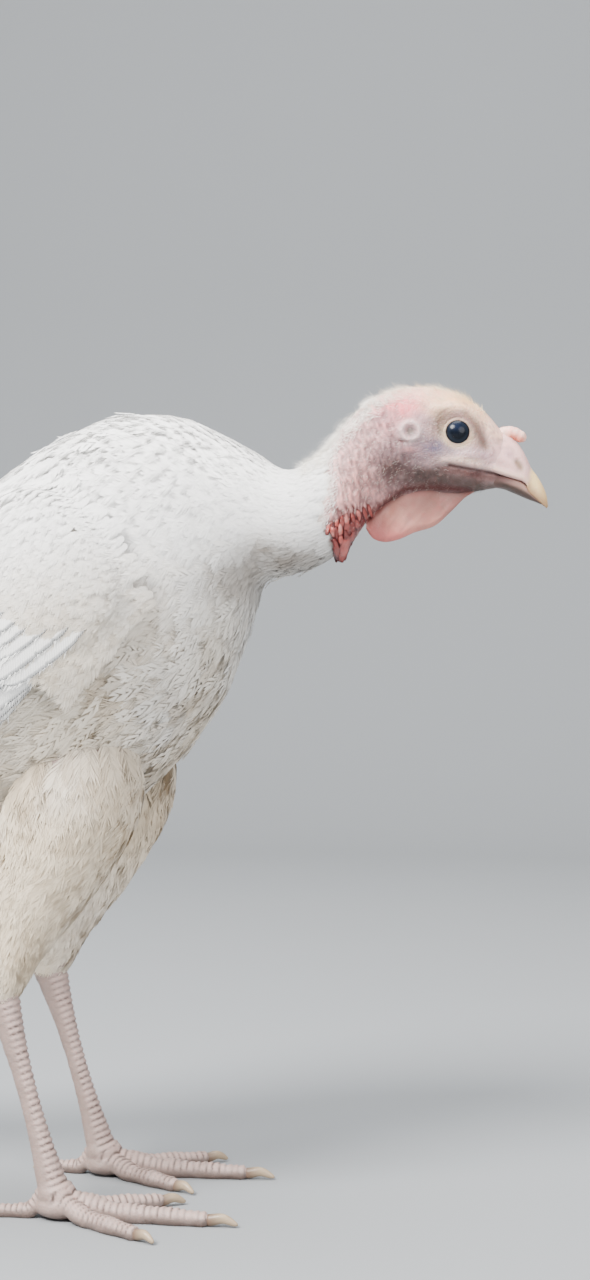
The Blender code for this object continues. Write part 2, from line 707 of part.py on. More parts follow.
def toe_path(name, share):
    """Points along a toe, from the joint out to where its claw begins."""
    heading, length, root, tip = TOES[name][:4]
    turn = math.radians(heading)
    start = TOE_JOINT[2] - 3.5 if name != "hind" else TOE_JOINT[2] + 3.0
    size = root + (tip - root) * share
    x = TOE_JOINT[0] + length * share * math.cos(turn)
    y = TOE_JOINT[1] + length * share * math.sin(turn)
    fall = np.clip(share / 0.45, 0, 1)
    z = start + (size * 0.86 - start) * fall * fall * (3 - 2 * fall)
    return np.stack(np.broadcast_arrays(x, y, z), axis=-1), size


def toe(name):
    scutes = TOES[name][4]
    share = np.linspace(0.0, 1.0, 2 * scutes + 1)
    path, size = toe_path(name, share)
    step = 1 + 0.05 * (np.arange(len(share)) % 2 == 0) + 0.05 * np.cos(share * 2 * math.pi * 3)
    return tube("toe", path, np.stack([size * step, size * 1.02], axis=1), 8, "leg")


def claw(name):
    """A short curved claw, its tip just off the floor."""
    heading, length = TOES[name][0], TOES[name][5]
    path, size = toe_path(name, np.array([0.9, 1.0]))
    turn = math.radians(heading)
    forward = np.array((math.cos(turn), math.sin(turn), 0.0))
    share = np.array([0.0, 0.03, 0.25, 0.5, 0.75, 1.0])
    start = path[1] + forward * (GAP + 0.1)
    points = start + forward * (length * share)[:, None]
    points[:, 2] = start[2] + 1.4 * np.sin(share * math.pi) ** 2 - (start[2] - 1.6) * share**2
    radius = size[1] * 0.74 * (1 - share) ** 0.7 + 0.3
    return tube("claw_left_" + name, points, radius, 7, "horn")


def foot():
    """Four toes and the ball of the foot, their undersides flat on the floor."""
    made = limb("foot_left", HOCK, TOE_JOINT, SHANK_SIZES, 10, "leg", 0.904, 1.03)
    pieces = [toe(name) for name in TOES]
    pad_at = (TOE_JOINT[0] + 3.0, TOE_JOINT[1], 5.4)
    pieces.append(ellipsoid("pad", pad_at, (11.0, 9.0, 6.0), "leg", 12, 8))
    combine(made, pieces, "UNION")
    return combine(made, [slab_below_floor()], "DIFFERENCE")


def slab_below_floor():
    """A block whose top is the floor, to flatten what rests on it."""
    bpy.ops.mesh.primitive_cube_add(size=1.0, location=(0, 0, -0.05))
    made = bpy.context.object
    made.scale = (1.0, 1.0, 0.1)
    bpy.ops.object.transform_apply(location=True, rotation=False, scale=True)
    return made


def turned(obj):
    """Turns the head and neck: each point follows a smooth bend of the middle plane."""
    line = np.linspace(TURN_FROM - 60, TURN_FROM + 200, 521)
    share = np.clip((line - TURN_FROM) / (TURN_TO - TURN_FROM), 0, 1)
    yaw = math.radians(TURN_DEG) * share * share * (3 - 2 * share)
    step = line[1] - line[0]
    ahead = line[0] + np.concatenate([[0.0], np.cumsum(np.cos(yaw[:-1]) * step)])
    aside = np.concatenate([[0.0], np.cumsum(np.sin(yaw[:-1]) * step)])
    for vertex in obj.data.vertices:
        x, y = vertex.co.x / MM, vertex.co.y / MM
        angle = np.interp(x, line, yaw)
        vertex.co.x = (np.interp(x, line, ahead) - y * math.sin(angle)) * MM
        vertex.co.y = (np.interp(x, line, aside) + y * math.cos(angle)) * MM


def build():
    for obj in list(bpy.data.objects):
        bpy.data.objects.remove(obj)
    head_parts = [
        head(),
        *bill(),
        snood(),
        wattle(),
        caruncles(),
        trunk_piece("neck_upper", "neck_mid", "nape", 9, 22, "skin"),
        trunk_piece("neck_lower", "neck_root", "neck_mid", 7, 22, "feathers"),
    ]
    for side, sign in SIDES.items():
        at = (EYE_AT[0], sign * EYE_OUT, EYE_AT[1])
        head_parts.append(ellipsoid("eye_" + side, at, (EYE_R,) * 3, "eye", 16, 8))
    for obj in head_parts:
        turned(obj)
    torso("torso")
    tail()
    paired = [wing(), thigh(), shank("shank_left"), foot(), *[claw(name) for name in TOES]]
    for obj in paired:
        mirrored(obj, obj.name.replace("_left", "_right"))
    centre_on_floor()


def centre_on_floor():
    """Moves everything so that the origin is under the middle of the outline."""
    corners = [v.co for obj in bpy.data.objects for v in obj.data.vertices]
    shift = [-(max(c[i] for c in corners) + min(c[i] for c in corners)) / 2 for i in (0, 1)]
    for obj in bpy.data.objects:
        for vertex in obj.data.vertices:
            vertex.co.x += shift[0]
            vertex.co.y += shift[1]
        obj.data.set_sharp_from_angle(angle=math.radians(50))


build()
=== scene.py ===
"""A young white domestic turkey, standing: its skin, bill, eyes, legs and feathers.

Shapes are worked out in millimetres, with the bill towards +X, the bird's left at +Y and up
at +Z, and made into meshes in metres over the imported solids.
"""

import math

import bpy
import numpy as np
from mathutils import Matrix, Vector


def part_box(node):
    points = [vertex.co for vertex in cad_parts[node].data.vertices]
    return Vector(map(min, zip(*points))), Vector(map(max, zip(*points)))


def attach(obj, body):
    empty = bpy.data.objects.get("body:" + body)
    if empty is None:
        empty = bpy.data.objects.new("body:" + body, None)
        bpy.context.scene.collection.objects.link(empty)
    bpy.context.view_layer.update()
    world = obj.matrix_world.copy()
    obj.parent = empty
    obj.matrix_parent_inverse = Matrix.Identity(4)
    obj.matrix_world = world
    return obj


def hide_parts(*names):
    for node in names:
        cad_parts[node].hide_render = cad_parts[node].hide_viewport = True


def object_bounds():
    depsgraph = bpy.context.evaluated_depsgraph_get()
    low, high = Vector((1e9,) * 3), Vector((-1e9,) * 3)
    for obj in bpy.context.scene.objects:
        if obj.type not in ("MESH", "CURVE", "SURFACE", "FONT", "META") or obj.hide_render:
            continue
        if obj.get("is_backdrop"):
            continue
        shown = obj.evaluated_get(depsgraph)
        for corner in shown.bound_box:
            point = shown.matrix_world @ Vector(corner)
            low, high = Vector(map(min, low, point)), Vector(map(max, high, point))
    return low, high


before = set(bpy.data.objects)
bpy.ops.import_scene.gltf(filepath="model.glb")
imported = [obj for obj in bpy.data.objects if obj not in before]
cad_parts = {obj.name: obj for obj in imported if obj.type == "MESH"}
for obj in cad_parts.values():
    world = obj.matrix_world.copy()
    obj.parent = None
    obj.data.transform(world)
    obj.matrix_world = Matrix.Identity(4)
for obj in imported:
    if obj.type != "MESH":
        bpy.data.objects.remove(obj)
CAD_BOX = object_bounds()
MM = 0.001
SIDES = {"left": 1.0, "right": -1.0}
TAU = 2 * math.pi

# Cross-sections of the trunk: top and bottom point of the side outline (forward, up), half
# the width, and how much narrower the section is below.
SECTIONS = {
    "tail_root": ((-157, 188), (-140, 159), 18, 0.00),
    "rump": ((-134, 233), (-109, 157), 37, 0.00),
    "back": ((-98, 279), (-60, 158), 54, 0.04),
    "loin": ((-57, 315), (-14, 169), 64, 0.08),
    "keel": ((-20, 339), (26, 190), 66, 0.12),
    "breast": ((11, 350), (55, 229), 59, 0.12),
    "crop": ((42, 347), (67, 262), 44, 0.06),
    "neck_root": ((66, 335), (72.5, 276), 29, 0.00),
    "neck_low": ((81, 326), (85, 279.4), 23.5, 0.00),
    "neck_mid": ((94.6, 330.6), (105.5, 287.8), 20.5, 0.00),
    "neck_high": ((107.4, 344.4), (121.8, 306.8), 19, 0.05),
    "nape": ((119.6, 356.4), (134, 314), 18.5, 0.10),
    "ear": ((133.4, 361.4), (144.5, 316), 18.5, 0.14),
    "temple": ((149, 361.5), (154.5, 315), 18, 0.18),
    "eye": ((160, 358), (164, 315.8), 16, 0.16),
    "lore": ((170.4, 351), (170.5, 316.9), 11.1, 0.05),
    "bill_base": ((178.4, 342.0), (176, 317.6), 8.6, 0.00),
}
TURN_DEG, TURN_FROM, TURN_TO = 10.0, 74.0, 112.0

# Places on the head, forward and up.
EYE_AT, EYE_R, EYE_OUT = (157.0, 341.0), 7.0, 11.4
CANTHUS = (149.4, 340.6)
EAR_AT = (136.3, 341.1)
# Lines on the side of the head that grooves, ridges and colours follow.
HEAD_LINES = {
    "lip": ((153.5, 326.7), (158.9, 325.8), (164.9, 324.8), (170.2, 324.1), (174.4, 323.4), (178.5, 322.3)),
    "crease": ((131.7, 337.0), (135.3, 336.2), (138.9, 337.0)),
    "groove": ((160.5, 349.0), (162.2, 346.9), (164.8, 343.7), (167.1, 339.8), (169.5, 335.1)),
    "brow": ((147.5, 352.0), (156.0, 352.6), (164.5, 349.0), (171.0, 343.5), (176.0, 340.0)),
    "root": (
        (118.5, 303.6),
        (123.0, 307.6),
        (129.0, 312.8),
        (135.0, 316.6),
        (144.0, 317.5),
        (154.0, 316.9),
        (163.0, 316.3),
    ),
}
NOSTRIL_AT = (184.5, 327.2)
# Where the feathers end on the neck: how far forward, at heights. And the red folds' upper edge, along which
# a dark red painted shadow lies.
BORDER = (
    (104.5, 103.8, 100.7, 100.1, 100.4, 102.0, 103.0, 102.9, 102.0, 102.4, 104.0),
    (286.0, 292.6, 298.2, 301.0, 305.0, 309.7, 314.3, 319.4, 326.0, 331.5, 338.7),
)
RED_EDGE = ((99.4, 300.4), (106.0, 301.3), (112.6, 303.0), (120.4, 306.2))

# The bill's sections: point above, point below (forward, up), and half the width.
BILL_UPPER = (
    (171.0, 343.4, 169.8, 325.6, 9.9),
    (176.0, 342.7, 174.6, 323.9, 9.35),
    (178.6, 342.0, 178.0, 322.7, 8.85),
    (184.8, 337.2, 182.6, 321.3, 8.15),
    (188.6, 331.0, 186.4, 320.2, 7.2),
    (190.6, 326.6, 188.0, 318.9, 6.4),
    (193.2, 323.0, 189.2, 315.8, 5.4),
    (195.7, 318.8, 192.4, 313.0, 3.9),
    (197.5, 314.2, 195.6, 310.4, 2.2),
    (198.2, 309.6, 197.6, 308.8, 0.6),
)
BILL_LOWER = (
    (168.0, 323.8, 168.0, 318.8, 5.0),
    (173.5, 323.2, 173.5, 317.9, 5.7),
    (178.4, 322.2, 178.6, 317.1, 6.5),
    (182.4, 320.9, 182.4, 315.6, 6.9),
    (186.0, 319.6, 186.4, 313.9, 6.0),
    (188.6, 317.6, 189.2, 312.7, 4.9),
    (191.4, 314.2, 192.2, 311.6, 3.3),
    (194.9, 311.2, 195.2, 310.4, 1.4),
)
# The snood's middle line and its size, and the wattle: root, free edge and half the thickness.
SNOOD = (
    (173.5, 340.2, 2.2),
    (177.4, 341.6, 2.5),
    (180.8, 342.2, 2.9),
    (184.2, 341.3, 2.9),
    (186.6, 340.0, 2.4),
    (188.4, 338.8, 1.5),
)
WATTLE = (
    (166.0, 322, 165.2, 315.6, 1.0),
    (164, 322, 162.6, 314.2, 1.3),
    (158, 324, 155.5, 307.5, 2.2),
    (150, 325, 148, 301.0, 2.9),
    (141, 325, 139, 298.0, 3.2),
    (132, 324, 131, 294.6, 3.1),
    (126, 322, 125.8, 293.8, 2.6),
    (121, 317, 120.4, 295.6, 1.8),
    (118, 313, 117.6, 299.6, 1.0),
)
# Red folds: forward, up, half width, half length, lean forward in degrees, and how pale.
FOLDS = (
    (108.2, 291.4, 2.7, 5.8, 13, 0.62),
    (104.5, 290.2, 1.7, 4.4, -9, 0.12),
    (106.7, 287.2, 1.9, 2.6, 6, 0.30),
    (103.0, 297.6, 1.3, 2.9, -8, 0.95),
    (106.0, 297.8, 1.5, 3.5, -2, 0.90),
    (104.5, 297.0, 1.3, 3.2, -4, 0.05),
    (109.0, 298.8, 1.7, 3.2, 2, 0.30),
    (111.2, 299.6, 1.9, 3.2, 8, 0.05),
    (111.4, 295.6, 1.6, 3.0, 14, 0.20),
    (113.3, 301.0, 1.5, 2.6, -10, 0.30),
    (101.3, 299.2, 1.2, 2.6, 14, 0.78),
    (102.6, 301.4, 1.1, 2.6, 10, 0.35),
    (104.6, 301.6, 1.2, 2.9, 4, 0.85),
    (106.7, 302.0, 1.2, 3.1, 0, 0.30),
    (108.9, 302.4, 1.3, 3.2, -4, 0.80),
    (111.4, 303.4, 1.2, 3.2, -10, 0.25),
    (114.0, 304.6, 1.2, 3.0, -14, 0.72),
    (116.8, 305.6, 1.1, 2.9, -18, 0.25),
    (119.2, 306.8, 1.0, 2.6, -22, 0.40),
    (108.6, 295.0, 1.7, 3.0, 6, 0.15),
    (106.4, 294.2, 1.5, 2.6, 0, 0.55),
)

# Legs: places forward, outward, up; sizes at shares of the length, front to back and across.
THIGH_TOP, HOCK, TOE_JOINT = (6.0, 27.0, 222.0), (-38.0, 38.0, 98.0), (-13.0, 40.0, 12.0)
THIGH_SIZES = ((0.0, 20, 13), (0.3, 31, 23), (0.6, 24, 19.5), (0.84, 13, 11.5), (0.97, 9.4, 8.2))
SHANK_SIZES = ((0, 8.6, 7.2), (0.1, 7.2, 6.4), (0.28, 5.4, 4.7), (0.75, 5.0, 4.5), (0.93, 6.4, 6.2))
# Heading in degrees, length, size at root and tip, and the claw's length.
TOES = {
    "inner": (-32.0, 50.0, 4.7, 3.2, 11.0),
    "middle": (2.0, 70.0, 5.1, 3.3, 12.5),
    "outer": (34.0, 54.0, 4.6, 3.1, 10.5),
    "hind": (176.0, 25.0, 3.7, 2.9, 9.5),
}

# Folded wing: along from the wrist, across towards the belly, out from the flank.
WRIST, WING_PITCH, WING_STRAIGHT = (4.0, 289.0), math.radians(42.0), 120.0
# The core: along, middle across, half width, out from the sheet, half thickness.
WING_CORE = (
    (-10, -1, 6, 3.6, 2.2),
    (-5, -1, 20, 4.6, 4.4),
    (8, -2, 32, 6.2, 6.2),
    (24, -3, 35, 6.6, 6.3),
    (38, -3, 34, 6.0, 5.0),
    (50, -3, 30, 5.0, 2.4),
)
# Rows of feathers: root and tip of the lowest and of the highest, count, half width, out.
WING_ROWS = {
    "primaries": ((42, 25), (34, 4), (174, 21), (199, -7), 8, 7.4, 2.6),
    "secondaries": ((14, 24), (22, -33), (163, 13), (113, -40), 12, 8.2, 6.0),
    "greater_coverts": ((10, 24), (12, -31), (88, 17), (78, -36), 12, 6.8, 9.2),
    "median_coverts": ((6, 22), (6, -30), (58, 18), (54, -33), 12, 6.2, 11.8),
}

TAIL_ROOT, TAIL_PITCH, TAIL_ARCH = (-142.0, 178.0), math.radians(31.0), 170.0
# The tail's core: along, half width, half thickness.
TAIL_CORE = ((-4, 13, 10.5), (6, 15, 9), (16, 17, 6), (27, 19, 2.2))
# Count, spacing at the root, spread in degrees, root, length, half width, out.
TAIL_ROWS = {
    "tail_feathers": (17, 1.7, 42.0, 2, 122.0, 9.4, -0.6),
    "upper_coverts": (11, 2.6, 36.0, 0, 58.0, 7.0, 3.0),
    "under_coverts": (9, 3.0, 34.0, 0, 62.0, 7.0, -4.4),
}
# Rows of points along a long feather, and how steeply one rises to lie over the next.
VANE_ROWS, OVERLAP = 54, 0.72
# How wide a feather's patch is on the map for baking.
PATCH = 0.003


def linear(colour):
    """A colour as the eye reads it, 0 to 255, turned into light."""
    share = np.asarray(colour, float) / 255
    return np.where(share < 0.04045, share / 12.92, ((share + 0.055) / 1.055) ** 2.4)


def smooth(low, high, value):
    """Rises from 0 at low to 1 at high along a cubic."""
    share = np.clip((np.asarray(value, float) - low) / (high - low), 0, 1)
    return share * share * (3 - 2 * share)


def bell(value, width, power=2):
    """1 where the value is 0, fading to nothing over about twice the width."""
    return np.exp(-((value / width) ** power))


def spread(*values):
    """The values as float arrays of one shape."""
    return np.broadcast_arrays(*(np.asarray(value, float) for value in values))


def joined(*values):
    """The values, brought to one shape, side by side in a new last axis."""
    return np.stack(np.broadcast_arrays(*values), axis=-1)


def curve(values, knots, at):
    """A smooth curve through values at knots: cubic pieces whose slopes match at each knot."""
    values, knots, at = np.asarray(values, float), np.asarray(knots, float), np.asarray(at, float)
    step = np.diff(knots)
    slope = np.diff(values, axis=0) / step[:, None]
    tangent = np.empty_like(values)
    tangent[0], tangent[-1] = slope[0], slope[-1]
    before, after = step[:-1, None], step[1:, None]
    tangent[1:-1] = (slope[:-1] * after + slope[1:] * before) / (before + after)
    i = np.clip(np.searchsorted(knots, at, side="right") - 1, 0, len(step) - 1)
    h, t = step[i][..., None], ((at - knots[i]) / step[i])[..., None]
    return (
        (1 + 2 * t) * (1 - t) ** 2 * values[i]
        + t * (1 - t) ** 2 * h * tangent[i]
        + t * t * (3 - 2 * t) * values[i + 1]
        + t * t * (t - 1) * h * tangent[i + 1]
    )


TABLE = np.array([[*top, *bottom, width, egg] for top, bottom, width, egg in SECTIONS.values()])
MIDDLE_LINE = (TABLE[:, 0:2] + TABLE[:, 2:4]) / 2
ALONG = np.concatenate([[0.0], np.cumsum(np.linalg.norm(np.diff(MIDDLE_LINE, axis=0), axis=1))])
AT = dict(zip(SECTIONS, ALONG))


def trunk(at, angle, grow=0.0):
    """The body's surface: an egg-shaped ring round the middle line at each place along it.

    Behind the tail's root the last ring is carried on and closes down on the tail.
    """
    at, angle, grow = spread(at, angle, grow)
    row = curve(TABLE, ALONG, np.maximum(at, 0.0))
    top, bottom = row[..., 0:2], row[..., 2:4]
    middle, half = (top + bottom) / 2, (top - bottom) / 2
    height = np.linalg.norm(half, axis=-1)
    up = half / height[..., None]
    past = np.minimum(at, 0.0)
    lift = (height * (1 + 0.030 * past) + grow) * np.sin(angle)
    out = (row[..., 4] * (1 + 0.010 * past) + grow) * np.cos(angle) * (1 + row[..., 5] * np.sin(angle))
    x = middle[..., 0] + up[..., 0] * lift + past * up[..., 1]
    z = middle[..., 1] + up[..., 1] * lift - past * up[..., 0]
    return joined(x, out, z)


def limb(start, end, sizes, share, angle, grow=0.0):
    """A tapering limb's surface: an ellipse round a straight line, sized along its length."""
    share, angle, grow = spread(share, angle, grow)
    start, end, table = np.array(start, float), np.array(end, float), np.array(sizes, float)
    size = curve(table[:, 1:], table[:, 0], share)
    heading = (end - start) / np.linalg.norm(end - start)
    side = np.array((0.0, 1.0, 0.0)) - heading * heading[1]
    side /= np.linalg.norm(side)
    front = np.cross(side, heading)
    front *= np.sign(front[0])
    reach = (size + grow[..., None]) * np.stack([np.cos(angle), np.sin(angle)], axis=-1)
    return start + (end - start) * share[..., None] + front * reach[..., :1] + side * reach[..., 1:]


THIGH_LENGTH = float(np.linalg.norm(np.subtract(HOCK, THIGH_TOP)))


def thigh(along, angle, grow=0.0):
    """The left thigh's surface, along it in millimetres from its top."""
    share = np.clip(np.asarray(along, float) / THIGH_LENGTH, 0.0, 1.04)
    return limb(THIGH_TOP, HOCK, THIGH_SIZES, share, angle, grow)


def wing_terms(along, across):
    """The six terms of the wing sheet: 1, a, c, a squared, a c, c squared."""
    along, across = spread(along, across)
    return joined(1.0, along, across, along**2, along * across, across**2)


def wing_fit():
    """The quadratic sheet nearest to the trunk's flank inside the wing's outline."""
    points = trunk(np.linspace(0.0, ALONG[-1], 120)[:, None], np.arange(72) * TAU / 72, 0.3).reshape(-1, 3)
    back, up = points[:, 0] - WRIST[0], points[:, 2] - WRIST[1]
    along = -back * math.cos(WING_PITCH) - up * math.sin(WING_PITCH)
    across = back * math.sin(WING_PITCH) - up * math.cos(WING_PITCH)
    inside = (points[:, 1] > 12) & (abs(along - 76) < 88) & (abs(across + 2) < 36)
    return np.linalg.lstsq(wing_terms(along[inside], across[inside]), points[inside, 1], rcond=None)[0]


WING_FIT = wing_fit()


def on_wing(along, across, out):
    """The wing's sheet, or a place out from it along its normal. Past a point it runs straight."""
    along, across, out = spread(along, across, out)
    close = np.minimum(along, WING_STRAIGHT)
    slope = WING_FIT[1] + 2 * WING_FIT[3] * close + WING_FIT[4] * across
    lean = WING_FIT[2] + WING_FIT[4] * along + 2 * WING_FIT[5] * across
    level = wing_terms(close, across) @ WING_FIT + slope * (along - close)
    tall = np.sqrt(1 + slope**2 + lean**2)
    along, across, level = along - out * slope / tall, across - out * lean / tall, level + out / tall
    x = WRIST[0] - along * math.cos(WING_PITCH) + across * math.sin(WING_PITCH)
    z = WRIST[1] - along * math.sin(WING_PITCH) - across * math.cos(WING_PITCH)
    return joined(x, level, z)


def wing_top(along, across, grow=0.0):
    """The sheet that the small feathers of the folded wing lie on.

    It is the highest of three: the trunk's flank, the rounded core, a pillow whose height falls
    as the root of 1 - r squared with r 1 on its outline, and the roots of the long feathers.
    """
    along, across, grow = spread(along, across, grow)
    core = np.array(WING_CORE, float)
    row = curve(core[:, 1:], core[:, 0], np.clip(along, 8.0, 50.0))
    r = np.hypot((across - row[..., 0]) / row[..., 1], np.minimum(along - 8.0, 0.0) / 18.5)
    front = smooth(8.0, -6.0, along)
    rim = (row[..., 2] + 1.0) * smooth(1.24 + 0.32 * front, 0.92 - 0.17 * front, r)
    high = rim + row[..., 3] * np.sqrt(np.clip(1 - r**2, 0, 1))
    over = np.interp(across, (-52, -44, -36, -28, 30), (0.0, 4.5, 9.0, 11.5, 11.5))
    over = over * np.interp(along, (0, 30, 60, 95, 125, 150), (0.3, 1.0, 0.98, 0.86, 0.68, 0.5))
    sheet = on_wing(along, across, np.maximum(high, over) + grow)
    flank = flank_level(sheet[..., 0], sheet[..., 2]) + 0.8 + grow
    gap = np.abs(sheet[..., 1] - flank)
    sheet[..., 1] = np.maximum(sheet[..., 1], flank) + 0.7 * np.exp(-gap / 1.4)
    return sheet


def flank_level(x, z):
    """How far out the trunk's flank is at a place in the side view, from a table of its surface."""
    i = np.clip((np.asarray(x, float) - FLANK_FROM[0]) / FLANK_STEP, 0, FLANK.shape[0] - 1.001)
    j = np.clip((np.asarray(z, float) - FLANK_FROM[1]) / FLANK_STEP, 0, FLANK.shape[1] - 1.001)
    a, b = i.astype(int), j.astype(int)
    i, j = i - a, j - b
    low = FLANK[a, b] * (1 - i) + FLANK[a + 1, b] * i
    return low * (1 - j) + (FLANK[a, b + 1] * (1 - i) + FLANK[a + 1, b + 1] * i) * j


def flank_table():
    """The trunk's half width over a grid of the side view: the mean of dense points near each place."""
    along, angle = np.linspace(0.0, ALONG[-1], 900)[:, None], np.linspace(-0.5, 0.5, 900) * math.pi
    points = trunk(along, angle).reshape(-1, 3)
    i = np.clip(np.round((points[:, 0] - FLANK_FROM[0]) / FLANK_STEP).astype(int), 0, FLANK_SHAPE[0] - 1)
    j = np.clip(np.round((points[:, 2] - FLANK_FROM[1]) / FLANK_STEP).astype(int), 0, FLANK_SHAPE[1] - 1)
    total, count = np.zeros(FLANK_SHAPE), np.zeros(FLANK_SHAPE)
    np.add.at(total, (i, j), points[:, 1])
    np.add.at(count, (i, j), 1.0)
    return total / np.maximum(count, 1.0)


FLANK_STEP, FLANK_FROM, FLANK_SHAPE = 2.0, (-170.0, 150.0), (161, 111)
FLANK = flank_table()


def tail_root(along, angle, grow=0.0):
    """The surface of the tail's small core, carried on straight past both of its ends."""
    along, angle, grow = spread(along, angle, grow)
    core = np.array(TAIL_CORE, float)
    row = curve(core[:, 1:], core[:, 0], np.clip(along, -4.0, 27.0))
    past = 0.55 * np.maximum(along - 27.0, 0.0)
    least = np.interp(along, (16.0, 44.0), (5.4, 3.0))
    wide, tall = row[..., 0] + past + grow, np.maximum(row[..., 1], least) + grow
    return on_tail(along, wide * np.cos(angle), 0.6 + tall * np.sin(angle))


def on_tail(along, across, out):
    """The tail's arched sheet, or a place out from it."""
    along, across, out = spread(along, across, out)
    lift = out - across**2 / (2 * TAIL_ARCH)
    x = TAIL_ROOT[0] - along * math.cos(TAIL_PITCH) - lift * math.sin(TAIL_PITCH)
    z = TAIL_ROOT[1] - along * math.sin(TAIL_PITCH) + lift * math.cos(TAIL_PITCH)
    return joined(x, across, z)


TURN_STEP = 0.5
TURN_LINE = np.linspace(-260.0, 300.0, 1121)
TURN_YAW = math.radians(TURN_DEG) * smooth(TURN_FROM, TURN_TO, TURN_LINE)
TURN_AHEAD = TURN_LINE[0] + np.concatenate([[0.0], np.cumsum(np.cos(TURN_YAW[:-1]) * TURN_STEP)])
TURN_ASIDE = np.concatenate([[0.0], np.cumsum(np.sin(TURN_YAW[:-1]) * TURN_STEP)])


def turned(points):
    """Head and neck turned a little to the bird's left, along a smooth bend of the middle plane."""
    x, y, z = np.moveaxis(np.asarray(points, float), -1, 0)
    yaw = np.interp(x, TURN_LINE, TURN_YAW)
    ahead = np.interp(x, TURN_LINE, TURN_AHEAD) - y * np.sin(yaw)
    aside = np.interp(x, TURN_LINE, TURN_ASIDE) + y * np.cos(yaw)
    return joined(ahead, aside, z)


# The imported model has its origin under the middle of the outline: how far ahead that puts it.
TORSO_AT = np.linspace(0.0, AT["neck_root"] - 0.15, 23)
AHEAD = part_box("torso")[1][0] / MM - trunk(TORSO_AT[:, None], np.arange(26) * TAU / 26)[..., 0].max()

CELLS = 32
LATTICE = np.random.default_rng(11).random((CELLS, CELLS, CELLS))


def noise(points, size):
    """Soft random values, 0 to 1: random numbers on a lattice of that size, smoothly joined."""
    place = np.asarray(points, float) / np.asarray(size, float) + 64.0
    cell = np.floor(place).astype(int)
    part = place - cell
    part = part * part * (3 - 2 * part)
    total = np.zeros(place.shape[:-1])
    for corner in range(8):
        step = np.array([(corner >> 2) & 1, (corner >> 1) & 1, corner & 1])
        weight = np.prod(np.where(step, part, 1 - part), axis=-1)
        i = (cell + step) % CELLS
        total += weight * LATTICE[i[..., 0], i[..., 1], i[..., 2]]
    return total


def blob(points, centre, reach):
    """A soft spot in the side view: 1 at its centre, fading as a bell over its reach."""
    ahead = (points[..., 0] - centre[0]) / reach[0]
    up = (points[..., 2] - centre[1]) / reach[1]
    return np.exp(-(ahead**2) - up**2)


def line_offset(points, line):
    """Distance in the side view to a line of points, and how far above it that is."""
    flat = points[..., [0, 2]]
    best = np.full(flat.shape[:-1], 1e9)
    above = np.zeros(flat.shape[:-1])
    for start, end in zip(np.array(line[:-1], float), np.array(line[1:], float)):
        run = end - start
        share = np.clip(((flat - start) @ run) / (run @ run), 0, 1)
        away = flat - start - share[..., None] * run
        far = np.linalg.norm(away, axis=-1)
        closer = far < best
        best = np.where(closer, far, best)
        above = np.where(closer, away[..., 1], above)
    return best, above


def grid_faces(rows, around, closed=True):
    """Quads over a grid of points, joined round its second direction when closed."""
    i, j = np.meshgrid(np.arange(rows - 1), np.arange(around if closed else around - 1), indexing="ij")
    k = (j + 1) % around
    quads = [i * around + j, i * around + k, (i + 1) * around + k, (i + 1) * around + j]
    return np.stack(quads, -1).reshape(-1, 4)


def fleshy(paint):
    """Flesh and horn paint laid deeper in its middle tones, as bright light washes them out."""
    return paint * (0.6 + 0.4 * paint**3)


def metres(points):
    """Points in millimetres as the flat list of coordinates in metres that a mesh holds."""
    return ((np.asarray(points) + (AHEAD, 0, 0)) * MM).astype(np.float32).ravel()


def lay_paint(mesh, paint, grain=1.0):
    """Puts a colour on each point of a mesh, with how strong the finish's grain is there."""
    rgba = np.concatenate([paint, np.ones((len(paint), 1)) * np.reshape(grain, (-1, 1))], axis=1)
    mesh.color_attributes.new("paint", "FLOAT_COLOR", "POINT")
    mesh.color_attributes["paint"].data.foreach_set("color", rgba.astype(np.float32).ravel())


def linked(name, data):
    """A new object over a mesh, a light or a camera."""
    made = bpy.data.objects.new(name, data)
    bpy.context.scene.collection.objects.link(made)
    return made


def piece(name, points, faces, coat, slot, paint=None, maps=None, replaces=(), normals=None, grain=1.0):
    """A mesh piece from points in millimetres and arrays of faces, riding on the bird."""
    mesh = bpy.data.meshes.new(name)
    blocks = faces if isinstance(faces, (list, tuple)) else [faces]
    corners = np.concatenate([block.ravel() for block in blocks])
    sizes = np.concatenate([np.full(len(block), block.shape[1]) for block in blocks])
    mesh.vertices.add(len(points))
    mesh.vertices.foreach_set("co", metres(points))
    mesh.loops.add(len(corners))
    mesh.loops.foreach_set("vertex_index", corners.astype(np.int32))
    mesh.polygons.add(len(sizes))
    mesh.polygons.foreach_set("loop_start", (np.cumsum(sizes) - sizes).astype(np.int32))
    mesh.polygons.foreach_set("use_smooth", np.ones(len(sizes), bool))
    mesh.update(calc_edges=True)
    mesh.validate()
    if paint is not None:
        lay_paint(mesh, paint if slot == "feathers" else fleshy(paint), grain)
    for map_name, uv in (maps or {}).items():
        layer = mesh.uv_layers.new(name=map_name)
        layer.uv.foreach_set("vector", uv[corners].astype(np.float32).ravel())
    if normals is not None:
        mesh.normals_split_custom_set_from_vertices(normals)
    mesh.materials.append(coat)
    return dress(linked(name, mesh), replaces)


def dress(made, replaces=()):
    """Tells the frame what a piece rides on and the nodes it stands for."""
    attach(made, "root")
    if replaces:
        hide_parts(*replaces)
    return made


